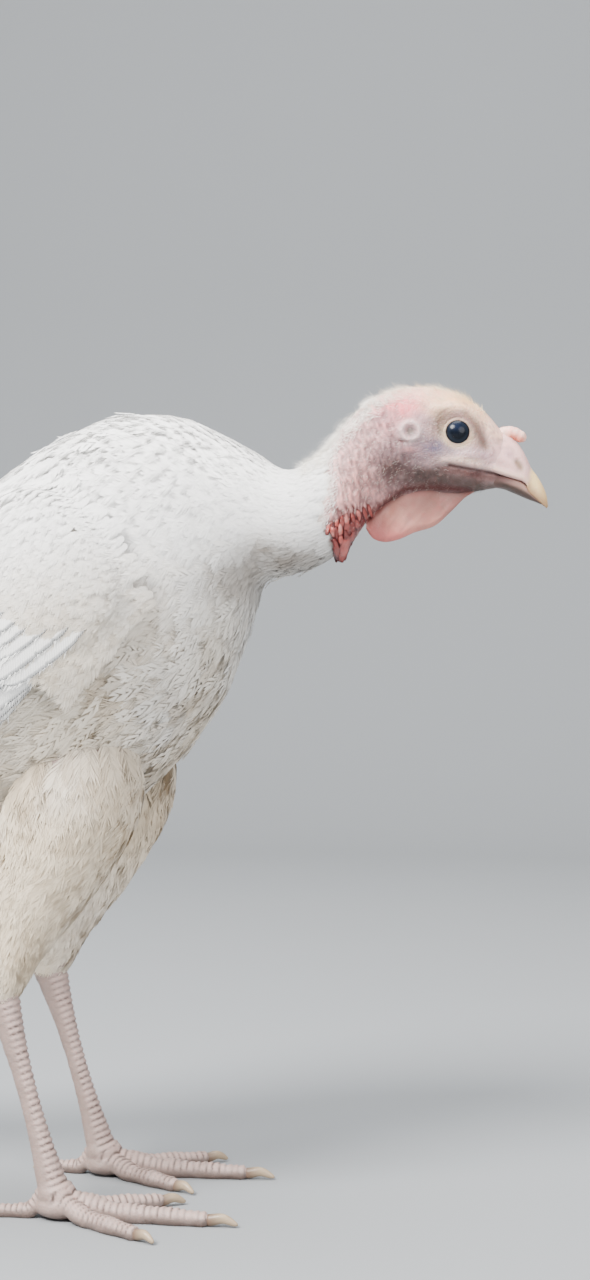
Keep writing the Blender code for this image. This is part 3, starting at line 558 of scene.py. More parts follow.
def shell(rings):
    """Faces of a closed skin over rings of points, with a fan at each end, and its points."""
    rows, around = rings.shape[:2]
    points = np.concatenate([rings.reshape(-1, 3), rings[0].mean(0)[None], rings[-1].mean(0)[None]])
    j = np.arange(around)
    k = (j + 1) % around
    last = (rows - 1) * around
    first_cap = np.stack([np.full(around, rows * around), k, j], -1)
    last_cap = np.stack([np.full(around, rows * around + 1), last + j, last + k], -1)
    return points, [grid_faces(rows, around), np.concatenate([first_cap, last_cap])]


def outward(points, faces):
    """The same faces, turned over if the closed skin would be inside out."""
    halves = [np.concatenate([f[:, :3], f[:, [0, 2, 3]]]) if f.shape[1] == 4 else f for f in faces]
    triangles = np.concatenate(halves)
    a, b, c = (points[triangles[:, i]] for i in range(3))
    if np.einsum("ij,ij->i", a, np.cross(b, c)).sum() < 0:
        return [f[:, ::-1] for f in faces]
    return faces


def capped(values):
    """Values on the points of rings, with those of the two end points added."""
    return np.concatenate([values, values[:1], values[-1:]])


def closed_piece(name, rings, coat, slot, paint=None, replaces=(), grain=1.0):
    """A closed piece over rings of points; its end points take their neighbours' paint."""
    points, faces = shell(rings)
    facing = outward(points - points.mean(0), faces)
    if paint is not None:
        paint = capped(paint)
    if np.ndim(grain):
        grain = capped(grain)
    return piece(name, points, facing, coat, slot, paint=paint, replaces=replaces, grain=grain)


def tube_rings(path, radii, around):
    """Rings round a path of points; radii give the size up and the size across."""
    path = np.asarray(path, float)
    radii = np.asarray(radii, float).reshape(len(path), -1)
    heading = np.gradient(path, axis=0)
    heading /= np.linalg.norm(heading, axis=1, keepdims=True)
    flat = np.cross(heading, (0.0, 0.0, 1.0))
    flat /= np.maximum(np.linalg.norm(flat, axis=1, keepdims=True), 1e-6)
    over = np.cross(flat, heading)
    angle = np.arange(around) * TAU / around
    return (
        path[:, None, :]
        + flat[:, None, :] * (radii[:, -1:] * np.cos(angle))[..., None]
        + over[:, None, :] * (radii[:, :1] * np.sin(angle))[..., None]
    )


# Finishes.
def node_maker(tree):
    """A function that adds a node to a tree: its operation, values to set and sockets to link."""

    def add(kind, operation=None, values=(), links=()):
        node = tree.nodes.new("ShaderNode" + kind)
        if operation:
            node.operation = operation
        for socket, value in dict(values).items():
            node.inputs[socket].default_value = value
        for socket, source in dict(links).items():
            tree.links.new(source, node.inputs[socket])
        return node

    return add


def node_group(name, inputs, output, kind):
    """An empty shader node group with named sockets: its tree, what it is given and its end."""
    group = bpy.data.node_groups.new(name, "ShaderNodeTree")
    for socket, default in inputs.items():
        given_kind = "NodeSocketColor" if isinstance(default, tuple) else "NodeSocketFloat"
        made = group.interface.new_socket(socket, in_out="INPUT", socket_type=given_kind)
        made.default_value = default
    group.interface.new_socket(output, in_out="OUTPUT", socket_type=kind)
    return group, group.nodes.new("NodeGroupInput").outputs, group.nodes.new("NodeGroupOutput").inputs[output]


def mottle_group():
    """Colour that wanders: noise makes it darker and lighter by an amount."""
    inputs = {"Colour": (1.0, 1.0, 1.0, 1.0), "Scale": 100.0, "Amount": 0.2}
    group, given, out = node_group("mottle", inputs, "Colour", "NodeSocketColor")
    add = node_maker(group)
    place = add("TexCoord").outputs["Object"]
    grain = add("TexNoise", None, {"Detail": 5.0}, {"Vector": place, "Scale": given["Scale"]})
    centred = add("Math", "SUBTRACT", {1: 0.5}, {0: grain.outputs["Fac"]})
    change = add("Math", "MULTIPLY_ADD", {2: 1.0}, {0: centred.outputs[0], 1: given["Amount"]})
    scaled = add("VectorMath", "SCALE", {}, {0: given["Colour"], "Scale": change.outputs[0]})
    group.links.new(scaled.outputs["Vector"], out)
    return group


def pebble_group():
    """Height of a pebbled, finely creased skin: small cells over a soft noise."""
    group, given, out = node_group("pebble", {"Scale": 900.0, "Crease": 0.5}, "Height", "NodeSocketFloat")
    add = node_maker(group)
    where = {"Vector": add("TexCoord").outputs["Object"], "Scale": given["Scale"]}
    cells = add("TexVoronoi", links=where)
    cells.feature = "SMOOTH_F1"
    grain = add("TexNoise", None, {"Detail": 6.0}, where)
    flip = add("Math", "SUBTRACT", {0: 1.0}, {1: cells.outputs["Distance"]})
    mix = add("Math", "MULTIPLY_ADD", {}, {0: grain.outputs["Fac"], 1: given["Crease"], 2: flip.outputs[0]})
    group.links.new(mix.outputs[0], out)
    return group


MOTTLE, PEBBLE = mottle_group(), pebble_group()


def finish(name, roughness, mottle, pebble=None, colour=None, sheen=0.0, glow=0.0, lines=None, shine=0.5):
    """A finish that reads the piece's paint, wanders a little in colour and has a fine grain.

    mottle gives the scale and amount of the wandering, pebble the grain's scale, crease and
    depth in millimetres, which the paint's fourth value makes less, and glow how much light
    the flesh lets through. lines gives how many barbs a feather's map holds along it, their
    slant and the depth of their ridges.
    """
    made = bpy.data.materials.new(name)
    made.use_nodes = True
    add, link = node_maker(made.node_tree), made.node_tree.links.new
    shader = made.node_tree.nodes["Principled BSDF"].inputs
    shader["Roughness"].default_value = roughness
    shader["Specular IOR Level"].default_value = shine
    shader["Sheen Weight"].default_value = sheen
    shader["Subsurface Weight"].default_value = glow
    shader["Subsurface Scale"].default_value = 0.002
    if glow:
        shader["Subsurface Radius"].default_value = (1.0, 0.35, 0.25)
    wander = add("Group")
    wander.node_tree = MOTTLE
    wander.inputs["Scale"].default_value, wander.inputs["Amount"].default_value = mottle
    if colour is None:
        paint = add("Attribute")
        paint.attribute_name = "paint"
        link(paint.outputs["Color"], wander.inputs["Colour"])
    else:
        wander.inputs["Colour"].default_value = (*linear(colour), 1.0)
    link(wander.outputs["Colour"], shader["Base Color"])
    if pebble:
        grain = add("Group")
        grain.node_tree = PEBBLE
        grain.inputs["Scale"].default_value, grain.inputs["Crease"].default_value = pebble[:2]
        fade = add("Math", "MULTIPLY", {1: 1.0}, {0: grain.outputs["Height"]})
        if colour is None:
            link(paint.outputs["Alpha"], fade.inputs[1])
        depth, height = pebble[2], fade.outputs[0]
    if lines:
        vane = add("UVMap")
        vane.uv_map = "Vane"
        slant = add("Mapping", None, {"Scale": (lines[0], lines[0], 1.0)}, {"Vector": vane.outputs["UV"]})
        slant.inputs["Rotation"].default_value[2] = lines[1]
        wave = add("TexWave", None, {"Scale": 1.0, "Distortion": 0.6}, {"Vector": slant.outputs["Vector"]})
        depth, height = lines[2], wave.outputs["Fac"]
    if pebble or lines:
        bump = add("Bump", None, {"Distance": depth * MM}, {"Height": height})
        link(bump.outputs["Normal"], shader["Normal"])
    return made


BARE_SKIN = finish("bare skin", 0.52, (260.0, 0.30), (1300.0, 0.6, 0.28), glow=0.25)
SOFT_WATTLE = finish("wattle skin", 0.42, (180.0, 0.22), (1500.0, 0.8, 0.12), glow=0.35)
BILL_HORN = finish("bill horn", 0.44, (170.0, 0.20), (1100.0, 0.8, 0.12), glow=0.2)
LEG_SKIN = finish("leg scales", 0.55, (220.0, 0.30), (1100.0, 0.5, 0.16), glow=0.1)
CLAW_HORN = finish("claw horn", 0.40, (300.0, 0.25), (900.0, 1.0, 0.06))
EYE_DARK = finish("dark eye", 0.21, (150.0, 0.20), shine=0.18)
PLUMAGE = finish("white plumage", 0.78, (60.0, 0.04), sheen=0.20)
VANES = finish("white vanes", 0.62, (60.0, 0.04), sheen=0.15, lines=(0.34, 0.70, 0.12))
UNDERCOAT = finish("white down on skin", 0.85, (120.0, 0.10), (500.0, 1.0, 0.4), colour=(236, 230, 222))


# Head and trunk skin.
# Spots in the side view, laid one over the other: centre, reach, colour and strength. Some are painted shade,
# round the eye, in the lore groove and under the jaw.
HEAD_SPOTS = (
    ((112, 328), (26, 60), (213, 172, 170), 1.0),
    ((107, 310), (13, 16), (234, 184, 176), 0.8),
    ((100, 322), (7, 22), (236, 216, 214), 0.6),
    ((119, 318), (9, 12), (224, 174, 168), 0.6),
    ((157, 357.0), (17, 7.5), (255, 226, 170), 1.0),
    ((168, 350), (8, 7), (255, 226, 194), 0.95),
    ((144, 361), (14, 6.5), (250, 214, 196), 0.95),
    ((118, 356), (15, 8), (240, 222, 208), 0.85),
    ((131.4, 351.8), (9.0, 5.8), (243, 146, 152), 1.0),
    ((125.0, 347), (7.0, 6.0), (216, 154, 158), 0.7),
    ((140.3, 347.8), (2.6, 1.7), (186, 146, 158), 0.5),
    ((143.9, 345.4), (2.6, 2.0), (180, 150, 160), 0.5),
    ((141.5, 335), (9, 8), (176, 148, 158), 0.85),
    ((129, 330), (9, 7), (164, 128, 130), 0.8),
    ((136.2, 333.2), (3.6, 1.4), (222, 160, 160), 0.6),
    ((157.5, 340), (10.0, 9), (230, 202, 172), 0.80),
    ((157.0, 348.6), (3.6, 2.4), (196, 156, 160), 0.7),
    # Painted shade: olive brown behind the eye, brown in the top of the lore groove, dark in the eye's rear
    # corner.
    ((150.0, 345.0), (3.4, 5.5), (152, 120, 98), 0.85),
    ((164.2, 343.6), (3.0, 4.4), (150, 116, 98), 0.85),
    ((149.9, 341.0), (1.6, 1.3), (112, 84, 72), 0.8),
    ((148.8, 351.0), (5.0, 3.6), (220, 188, 156), 0.5),
    ((147.6, 334.4), (4.6, 3.0), (124, 110, 142), 1.0),
    ((155.2, 333.6), (6.4, 2.6), (150, 126, 138), 0.95),
    ((166, 331.0), (12, 4.0), (238, 214, 216), 0.95),
    ((159.5, 328.6), (8, 1.6), (246, 226, 206), 0.85),
    ((173, 341), (8, 7), (250, 224, 212), 0.9),
    ((170.2, 331.6), (3.2, 2.0), (206, 176, 186), 0.7),
    # Painted shade under the jaw, over the throat's own darker, bristled skin.
    ((144, 321.0), (17, 4.8), (98, 72, 64), 0.95),
    ((128.6, 325.4), (6, 4.6), (98, 68, 62), 0.9),
    ((138.9, 322.6), (6, 3.4), (80, 56, 50), 0.8),
    ((150, 321.6), (6, 3.4), (80, 58, 52), 0.75),
    ((134.5, 329.2), (4, 2.4), (128, 102, 102), 0.6),
    ((153.3, 326.2), (3.4, 2.0), (122, 90, 88), 0.7),
    # More painted shade under the jaw and chin.
    ((161, 319.4), (10, 3.8), (100, 76, 70), 0.95),
    ((171, 317.2), (13, 3.0), (96, 76, 66), 1.0),
    ((172, 321.7), (9, 1.9), (146, 102, 94), 0.9),
    ((157.7, 324.8), (2.3, 1.4), (104, 54, 52), 0.85),
    ((161.0, 324.4), (1.6, 1.2), (198, 138, 126), 0.7),
    ((165.4, 323.4), (3.4, 1.1), (104, 48, 44), 0.9),
    ((180, 333), (9, 10), (246, 214, 210), 0.95),
    ((180.8, 332.0), (2.4, 1.8), (214, 178, 184), 0.7),
)
# Swells and hollows of the head: height, centre and reach.
HEAD_SWELLS = (
    (0.9, (134.5, 333.4), (3.4, 2.4)),
    (0.5, (142.4, 346.2), (2.0, 1.6)),
    (0.8, (156, 351), (8, 3.6)),
    (-1.0, EYE_AT, (8.5, 8.5)),
    (-0.6, (167, 338), (4, 4)),
    (0.9, (160, 331.0), (11, 3.2)),
)
# How far apart the folds round the neck lie, its radius, and the points of a ring of skin.
RIPPLE_MM, NECK_RADIUS, SKIN_RING = 2.4, 19, 256


def on_ring(at, angle):
    """Places on an even round bar of the neck's size, so that noise can be stretched round it."""
    return joined(at, NECK_RADIUS * np.cos(angle), NECK_RADIUS * np.sin(angle))


def ripple(at, angle):
    """Short folds that lie round the neck, 0 to 1: waves along it, broken into rows of bumps."""
    bar = on_ring(at, angle)
    drift = 5.4 * noise(bar, (9.0, 7.0, 7.0)) + 2.8 * noise(bar + 30, (3.4, 4.0, 4.0))
    wave = 0.5 + 0.5 * np.sin(at / RIPPLE_MM * TAU + drift * 2.0)
    bumps = noise(bar + 60, (1.4, 2.2, 2.2))
    lumps = noise(bar + 90, (2.6, 4.4, 4.4))
    return np.clip(0.34 * wave + 1.00 * bumps + 0.50 * lumps - 0.42, 0, 1)


def bare(at, angle):
    """1 on the bare head and neck and 0 under the feathers: a ragged border in the side view."""
    points = trunk(at, angle)
    edge = np.interp(points[..., 2], BORDER[1], BORDER[0]) + 4.0 * (noise(points, (3.0, 4.0, 4.0)) - 0.5)
    return smooth(-2.5, 2.0, points[..., 0] - edge)


def skin():
    """One skin from tail root to bill: the trunk's surface, sunk under the coat, with relief.

    The relief is a sum of soft bells, of grooves and ridges that follow lines, of the neck's
    folds and of fine noise; near the eye the skin dips behind the lids, and at the bill it
    tucks under.
    """
    at = [
        np.linspace(0.0, AT["crop"], 44, endpoint=False),
        np.linspace(AT["crop"], AT["neck_low"], 26, endpoint=False),
        np.linspace(AT["neck_low"], ALONG[-1], 236),
    ]
    at, angle = np.concatenate(at)[:, None], (np.arange(SKIN_RING) * TAU / SKIN_RING)[None, :]
    shown = bare(at, angle)
    sunk = 1.0 + 3.6 * smooth(AT["neck_mid"], AT["breast"], at)
    points = trunk(at, angle, -sunk * (1 - shown))
    side = np.sign(points[..., 1]) * np.minimum(np.abs(points[..., 1]) / 5.0, 1.0)
    folds = ripple(at, angle)
    neck = smooth(AT["ear"] + 1.0, AT["nape"] + 1.5, at) * np.ones_like(angle)
    neck = np.maximum(neck, 0.5 * blob(points, (144, 320), (18, 6.5))) * shown
    relief = neck * (folds - 0.5) * (1.05 + 0.8 * blob(points, (109, 297), (11, 9)))
    relief += shown * (0.7 * (noise(points, 5.0) - 0.5) + 0.34 * (noise(points, 1.5) - 0.5))
    offsets = {key: line_offset(points, line) for key, line in HEAD_LINES.items()}
    marks = {key: away for key, (away, _) in offsets.items()}
    above = offsets["lip"][1]
    near = smooth(6.0, 3.0, marks["lip"])
    relief += -1.1 * bell(marks["lip"], 0.7) + 0.9 * bell(above - 2.0, 1.4) * near
    relief += -0.9 * bell(marks["crease"], 0.6) - 0.8 * bell(marks["groove"], 1.8)
    relief += 0.9 * bell(marks["brow"], 2.6) - 1.0 * bell(marks["root"], 1.0)
    ear, eye = (np.hypot(points[..., 0] - place[0], points[..., 2] - place[1]) for place in (EAR_AT, EYE_AT))
    relief += 1.1 * bell(ear - 3.9, 1.3) - 1.3 * bell(ear, 1.8, 4)
    for height, centre, reach in HEAD_SWELLS:
        relief += height * blob(points, centre, reach)
    relief += 0.9 * blob(points, (147, 320.5), (12, 3.2)) * shown
    relief += 0.17 * np.sin(eye * TAU / 1.9 + 2.5 * noise(points, 4.0)) * bell(eye - 10.0, 2.8)
    relief -= 0.7 * smooth(ALONG[-1] - 8.0, ALONG[-1], at)
    points[..., 1] += side * relief
    points[..., 2] += 0.35 * relief * np.sin(angle) * (1 - smooth(0, 1, np.abs(side)) * 0.6)
    outer = np.abs(points[..., 1]) > 6.0
    for width, (far, close), reach in ((EYE_OUT + 4.45, (13.6, 6.8), 0.84), (EYE_OUT + 2.2, (6.4, 5.5), 1.0)):
        share = reach * smooth(far, close, eye) * outer
        points[..., 1] = points[..., 1] * (1 - share) + np.sign(points[..., 1]) * width * share
    marks |= {"folds": folds, "neck": neck, "shown": shown, "ear": ear, "above": above}
    marks["edge"] = line_offset(points, RED_EDGE)[0]
    colour = skin_colour(points.reshape(-1, 3), {key: value.ravel() for key, value in marks.items()})
    grain = 1 - 0.85 * smooth(168.0, 176.0, points[..., 0].ravel())
    nodes = ("head", "neck_upper", "neck_lower", "torso")
    closed_piece("skin", turned(points), BARE_SKIN, "skin", paint=colour, replaces=nodes, grain=grain)


def plain(shade, points):
    """One colour for all the points."""
    return np.tile(linear(shade), (len(points), 1))


def tint(colour, *layers):
    """Lays shades over a colour one by one, each by a weight for each point."""
    for shade, weight in layers:
        weight = np.asarray(weight)[:, None]
        colour = colour * (1 - weight) + linear(shade) * weight
    return colour


def spots_over(colour, points, spots):
    """Lays soft spots over a colour: each has a centre, a reach, a shade and a strength."""
    for centre, reach, shade, strength in spots:
        colour = tint(colour, (shade, strength * blob(points, centre, reach)))
    return colour


def spotted(points):
    """The head's ground colour: a table of soft spots, their edges moved by noise, and eye rings, the brown
    one above the eye painted shade.
    """
    colour = plain((220, 186, 186), points)
    wander = 0.75 + 0.5 * noise(points, 3.2)
    for centre, reach, shade, strength in HEAD_SPOTS:
        spot = np.minimum(1.2 * blob(points, centre, reach) * wander, 1.0)
        colour = tint(colour, (shade, strength * spot))
    ahead, up = points[:, 0] - EYE_AT[0], points[:, 2] - EYE_AT[1]
    eye = np.maximum(np.hypot(ahead, up), 1.0)
    above = np.clip(0.15 + (0.85 * up + 0.35 * ahead) / eye, 0, 1)
    pale_ring = 0.8 * bell(eye - 6.2, 1.3) * (1 - 0.5 * above)
    # Painted shade: brown over the eye's upper side, under the brow.
    upper_eye_shade = 0.95 * above * bell(eye - 7.2, 1.6)
    return tint(colour, ((238, 216, 184), pale_ring), ((156, 116, 110), upper_eye_shade))


def skin_colour(points, marks):
    """The head's markings over its spots: lips, the red patch, and painted light and shade: dark in creases,
    grooves, fold troughs and along edges, pale on fold crests.
    """
    near = smooth(5.0, 2.5, marks["lip"])
    root_shadow_width = 1.4 + 0.9 * smooth(136.0, 124.0, points[:, 0])
    colour = tint(
        spotted(points),
        ((246, 222, 214), 0.8 * near * bell(marks["above"] - 1.8, 1.4)),
        ((146, 102, 96), 0.9 * near * bell(marks["above"] + 2.0, 1.6)),
        ((92, 48, 44), 0.9 * bell(marks["lip"], 0.7)),
        ((98, 44, 40), 0.8 * blob(points, (165.2, 322.9), (3.4, 1.2))),
        ((255, 232, 208), 0.6 * bell(marks["brow"], 2.6)),
        # Painted shade: brown in the lore groove, dark in the crease below the ear, dark red as a shadow
        # along the wattle's root.
        ((158, 120, 100), 0.80 * bell(marks["groove"], 2.0)),
        ((138, 80, 84), 0.95 * bell(marks["crease"], 0.8)),
        ((104, 38, 36), 0.95 * bell(marks["root"], root_shadow_width)),
    )
    low = 2.2 * blob(points, (107.0, 294), (6.5, 7.5)) + 1.2 * blob(points, (115, 302.5), (5.5, 3.2))
    low = np.minimum(low, 1.0)
    # deep and shade are painted light and shade on the neck's folds: darker in their troughs, lighter on
    # their crests.
    deep = np.clip(1.25 - 1.9 * marks["folds"], 0, 1) * marks["neck"]
    shade = 1 - marks["neck"] * (0.32 - 0.50 * marks["folds"]) - 0.02 * (1 - marks["neck"])
    stubble = smooth(0.60, 0.80, noise(points, 1.2)) * blob(points, (142, 322), (20, 8))
    pale = 0.30 - 0.20 * np.minimum(1.4 * blob(points, (148, 321), (26, 8)), 1.0)
    edge = bell(marks["edge"], 1.5) * (0.45 + 0.9 * noise(points, 2.6))
    return tint(
        colour * np.clip(shade, 0.55, 1.14)[:, None],
        ((152, 90, 92), 0.30 * deep),
        ((92, 66, 60), 0.30 * stubble),
        ((196, 150, 146), pale * smooth(0.58, 0.8, noise(points + 17, 1.7))),
        # Deep red skin under the red folds, deeper in the fold troughs as painted shade; painted shade in the
        # troughs near it, and a dark red painted shadow along its upper edge.
        ((128, 36, 36), np.clip(low * (0.85 + 0.3 * deep), 0, 1)),
        ((132, 48, 50), np.clip(1.3 * deep * blob(points, (113.5, 306.5), (9, 3.4)), 0, 1)),
        ((112, 36, 36), np.clip(edge, 0, 0.9)),
        ((232, 212, 210), 0.85 * bell(marks["ear"] - 3.9, 1.4)),
        ((172, 156, 148), 0.9 * bell(marks["ear"], 1.8, 4)),
        ((232, 222, 214), smooth(0.5, 0.0, marks["shown"])),
    )


# The lids' section: distance from the eye's centre, and how far out past the ball's centre.
LID_PROFILE = (
    (5.10, 3.40),
    (5.06, 4.70),
    (5.16, 4.90),
    (5.42, 4.96),
    (5.80, 4.82),
    (6.30, 4.60),
    (6.90, 4.42),
    (7.60, 4.20),
    (8.20, 3.40),
    (8.20, 1.00),
    (5.60, 1.00),
)
LID_RING = 120


def lids():
    """The eye's lids: a thin soft rim that rests on the ball and runs out into the skin."""
    radius, out = np.array(LID_PROFILE).T
    many, step = len(radius), np.arange(len(radius))
    past_rim = step > 3
    angle = np.arange(LID_RING)[:, None] * TAU / LID_RING
    for name, sign in SIDES.items():
        flat = EYE_AT[0] + radius * np.cos(angle), EYE_AT[1] + 0.97 * radius * np.sin(angle)
        rings = joined(flat[0], sign * (EYE_OUT + out), flat[1])
        rings[..., 1] += sign * 0.26 * (noise(rings, 1.3) - 0.5) * past_rim
        behind = np.hypot(rings[..., 0] - CANTHUS[0], rings[..., 2] - CANTHUS[1])
        rings[..., 1] -= sign * 0.7 * bell(behind, 0.7) * past_rim
        raw = rings.reshape(-1, 3)
        last = (LID_RING - 1) * many
        wrap = np.stack([last + step, last + (step + 1) % many], -1)
        join = np.concatenate([wrap, (wrap % many)[:, ::-1]], axis=1)
        dark_rim = 1 - np.interp(step, (0, 1, 2, 3, 4, 6), (0, 0.0, 0.25, 0.75, 1.0, 1.0))
        colour = tint(
            spotted(raw),
            ((58, 46, 44), np.tile(dark_rim, LID_RING)),
            # Painted shade in the eye's rear corner, where the lids sink in.
            ((80, 58, 54), 0.9 * bell(behind.ravel(), 0.75)),
        )
        points = turned(raw)
        faces = outward(points, [grid_faces(LID_RING, many), join])
        piece("lids_" + name, points, faces, BARE_SKIN, "skin", paint=colour, grain=0.8)


def sphere(centre, radii, rings, around):
    """An ellipsoid's points and faces from latitude rings."""
    tilt = np.linspace(0, math.pi, rings + 2)[1:-1, None]
    turn = np.arange(around)[None, :] * TAU / around
    unit = joined(np.sin(tilt) * np.cos(turn), np.cos(tilt), np.sin(tilt) * np.sin(turn))
    points, faces = shell(np.array(centre) + unit * np.array(radii))
    points[-2:] = np.array([centre + np.array((0, r, 0)) for r in (radii[1], -radii[1])])
    return points, outward(points - np.array(centre), faces)


def eyes():
    """Dark glossy balls: a blue-black pupil, a slightly paler ring round it, a painted bluish reflection at
    the upper back and a dark rim.
    """
    for name, sign in SIDES.items():
        centre = (EYE_AT[0], sign * EYE_OUT, EYE_AT[1])
        points, faces = sphere(centre, (EYE_R, EYE_R, EYE_R), 46, 64)
        away = np.hypot(points[:, 0] - EYE_AT[0], points[:, 2] - EYE_AT[1])
        colour = tint(
            plain((12, 18, 28), points),
            ((30, 38, 50), smooth(3.0, 3.8, away)),
            # Painted reflection: a soft bluish glint on the ball's upper back.
            ((34, 46, 74), 0.7 * blob(points, (156.2, 343.4), (2.8, 2.0))),
            ((18, 18, 22), smooth(4.4, 5.1, away)),
        )
        node = ("eye_" + name,)
        piece("eyeball_" + name, turned(points), faces, EYE_DARK, "eye", paint=colour, replaces=node)


# Bill, snood, wattle and caruncles.
def lengths_along(places, count):
    """How far along a line of places each one lies, and even steps over the whole of it."""
    knots = np.concatenate([[0], np.cumsum(np.linalg.norm(np.diff(places, axis=0), axis=1))])
    return knots, np.linspace(0, knots[-1], count)


def bill_rings(table, rows, around, upper):
    """Half-ellipses on the cutting edge, carried through the bill's sections."""
    table = np.array(table, float)
    row = curve(table, *lengths_along(table[:, 0:4], rows))
    top, bottom, width = row[:, 0:2], row[:, 2:4], row[:, 4]
    edge, reach = (bottom, top) if upper else (top, bottom)
    angle = np.linspace(0, math.pi, around)
    rise = np.sin(angle) ** 0.85
    cross = np.sign(np.cos(angle)) * np.abs(np.cos(angle)) ** 0.9
    flat = edge[:, None, :] + rise[None, :, None] * (reach - edge)[:, None, :]
    return np.stack([flat[..., 0], width[:, None] * cross[None, :], flat[..., 1]], axis=-1)


def bill():
    """Both halves of the bill, the nostril a soft slit under its raised cover."""
    rings = bill_rings(BILL_UPPER, 72, 61, True)
    side = np.sign(rings[..., 1]) * np.minimum(np.abs(rings[..., 1]) / 2.0, 1.0)
    x, z = rings[..., 0] - NOSTRIL_AT[0], rings[..., 2] - NOSTRIL_AT[1]
    lean_x, lean_z = 0.80 * x + 0.60 * z, -0.60 * x + 0.80 * z
    cover = np.exp(-((lean_x + 1.6) ** 2) / 6.0 - lean_z**2 / 12.0)
    slit = np.exp(-((lean_x - 0.2) ** 2) / 2.0 - (lean_z / 2.9) ** 4)
    above = rings[..., 2] - rings[:, :1, 2]
    edge = bell(above - 1.2, 1.1) * smooth(195, 184, rings[..., 0]) * smooth(172, 180, rings[..., 0])
    hollow = bell(above - 4.5, 1.8) * smooth(188, 180, rings[..., 0])
    above, rows = above.ravel(), rings[..., 0].ravel()
    rings[..., 1] += side * (0.5 * cover - 0.95 * slit + 0.5 * edge - 0.35 * hollow)
    raw = rings.reshape(-1, 3)
    horn = smooth(-1.5, 1.7, rows - 189.2 - 0.30 * (raw[:, 2] - 322) + 1.2 * (noise(raw, 3.0) - 0.5))
    colour = tint(
        spotted(raw),
        ((196, 150, 146), 0.30 * smooth(0.58, 0.8, noise(raw + 17, 1.7))),
        ((244, 216, 210), 0.7 * smooth(179.0, 186.0, rows)),
        ((255, 238, 190), horn),
        ((232, 206, 150), horn * smooth(192.5, 196.5, rows) * 0.8),
        # Painted shade in the shallow hollow along the bill's side.
        ((222, 186, 178), 0.4 * hollow.ravel()),
        ((168, 136, 106), 0.9 * slit.ravel()),
        # Painted shade: brown along the horn's lower edge.
        ((196, 156, 112), 0.85 * horn * bell(above, 2.2)),
        ((246, 224, 206), 0.7 * (1 - horn) * bell(above - 1.4, 1.3)),
    )
    closed_piece("bill_top", turned(rings), BILL_HORN, "horn", paint=colour, replaces=("bill_upper",))
    rings = bill_rings(BILL_LOWER, 44, 41, False)
    raw = rings.reshape(-1, 3)
    rows = raw[:, 0]
    below = (rings[:, :1, 2] - rings[..., 2]).ravel()
    deep = np.repeat(rings[:, 0, 2] - rings[:, 20, 2], 41)
    colour = tint(
        spotted(raw),
        ((148, 104, 97), np.full(len(raw), 0.85)),
        ((202, 164, 148), smooth(177.0, 187.0, rows)),
        # Painted shade: dark brown on the lower part of the lower bill, towards its underside.
        ((98, 76, 66), 0.95 * smooth(0.38, 0.68, below / deep) * smooth(170.0, 179.0, rows)),
        ((96, 74, 60), 0.35 * smooth(0.45, 0.7, noise(raw, 2.6))),
    )
    closed_piece("bill_under", turned(rings), BILL_HORN, "horn", paint=colour, replaces=("bill_lower",))


def snood():
    """The fleshy finger on the bill's base: a wrinkled tube that thins to a round tip."""
    rows, around = 60, 40
    share = np.linspace(0, 1, rows)
    row = curve(SNOOD, np.linspace(0, 1, len(SNOOD)), share)
    path = np.stack([row[:, 0], np.zeros(rows), row[:, 1]], axis=1)
    round_off = np.sqrt(np.clip(1 - np.clip((share - 0.80) / 0.20, 0, 1) ** 2, 0.02, 1))
    wrinkle = 1 + 0.03 * np.sin(share * TAU * 5.5) - 0.09 * bell(share - 0.62, 0.06)
    size = row[:, 2] * wrinkle * round_off
    rings = tube_rings(path, np.stack([size, size * 1.15], 1), around)
    rings += 0.55 * (noise(rings, 2.2) - 0.5)[..., None] * np.array((0, 1, 1))
    raw = rings.reshape(-1, 3)
    # Painted shade: a deeper salmon on the snood's underside.
    low_side = np.tile(smooth(0.5, -0.6, np.sin(np.arange(around) * TAU / around)), rows)
    underside_shade = low_side * np.repeat(smooth(0.25, 0.5, share) * smooth(1.0, 0.85, share), around)
    colour = tint(
        plain((252, 224, 212), raw),
        ((246, 184, 156), 0.9 * underside_shade),
        ((240, 184, 172), 0.35 * smooth(0.45, 0.75, noise(raw, 2.0))),
    )
    closed_piece("snood_finger", turned(rings), SOFT_WATTLE, "wattle", paint=colour, replaces=("snood",))


WATTLE_SPOTS = (
    ((130, 295), (14, 4.5), (228, 140, 134), 0.8),
    ((122, 298), (6, 7), (218, 132, 128), 0.8),
    ((134, 306), (10, 6), (236, 186, 168), 0.6),
    ((150, 310), (14, 7), (172, 120, 108), 0.85),
    ((161, 313), (5, 4), (166, 116, 104), 0.7),
)


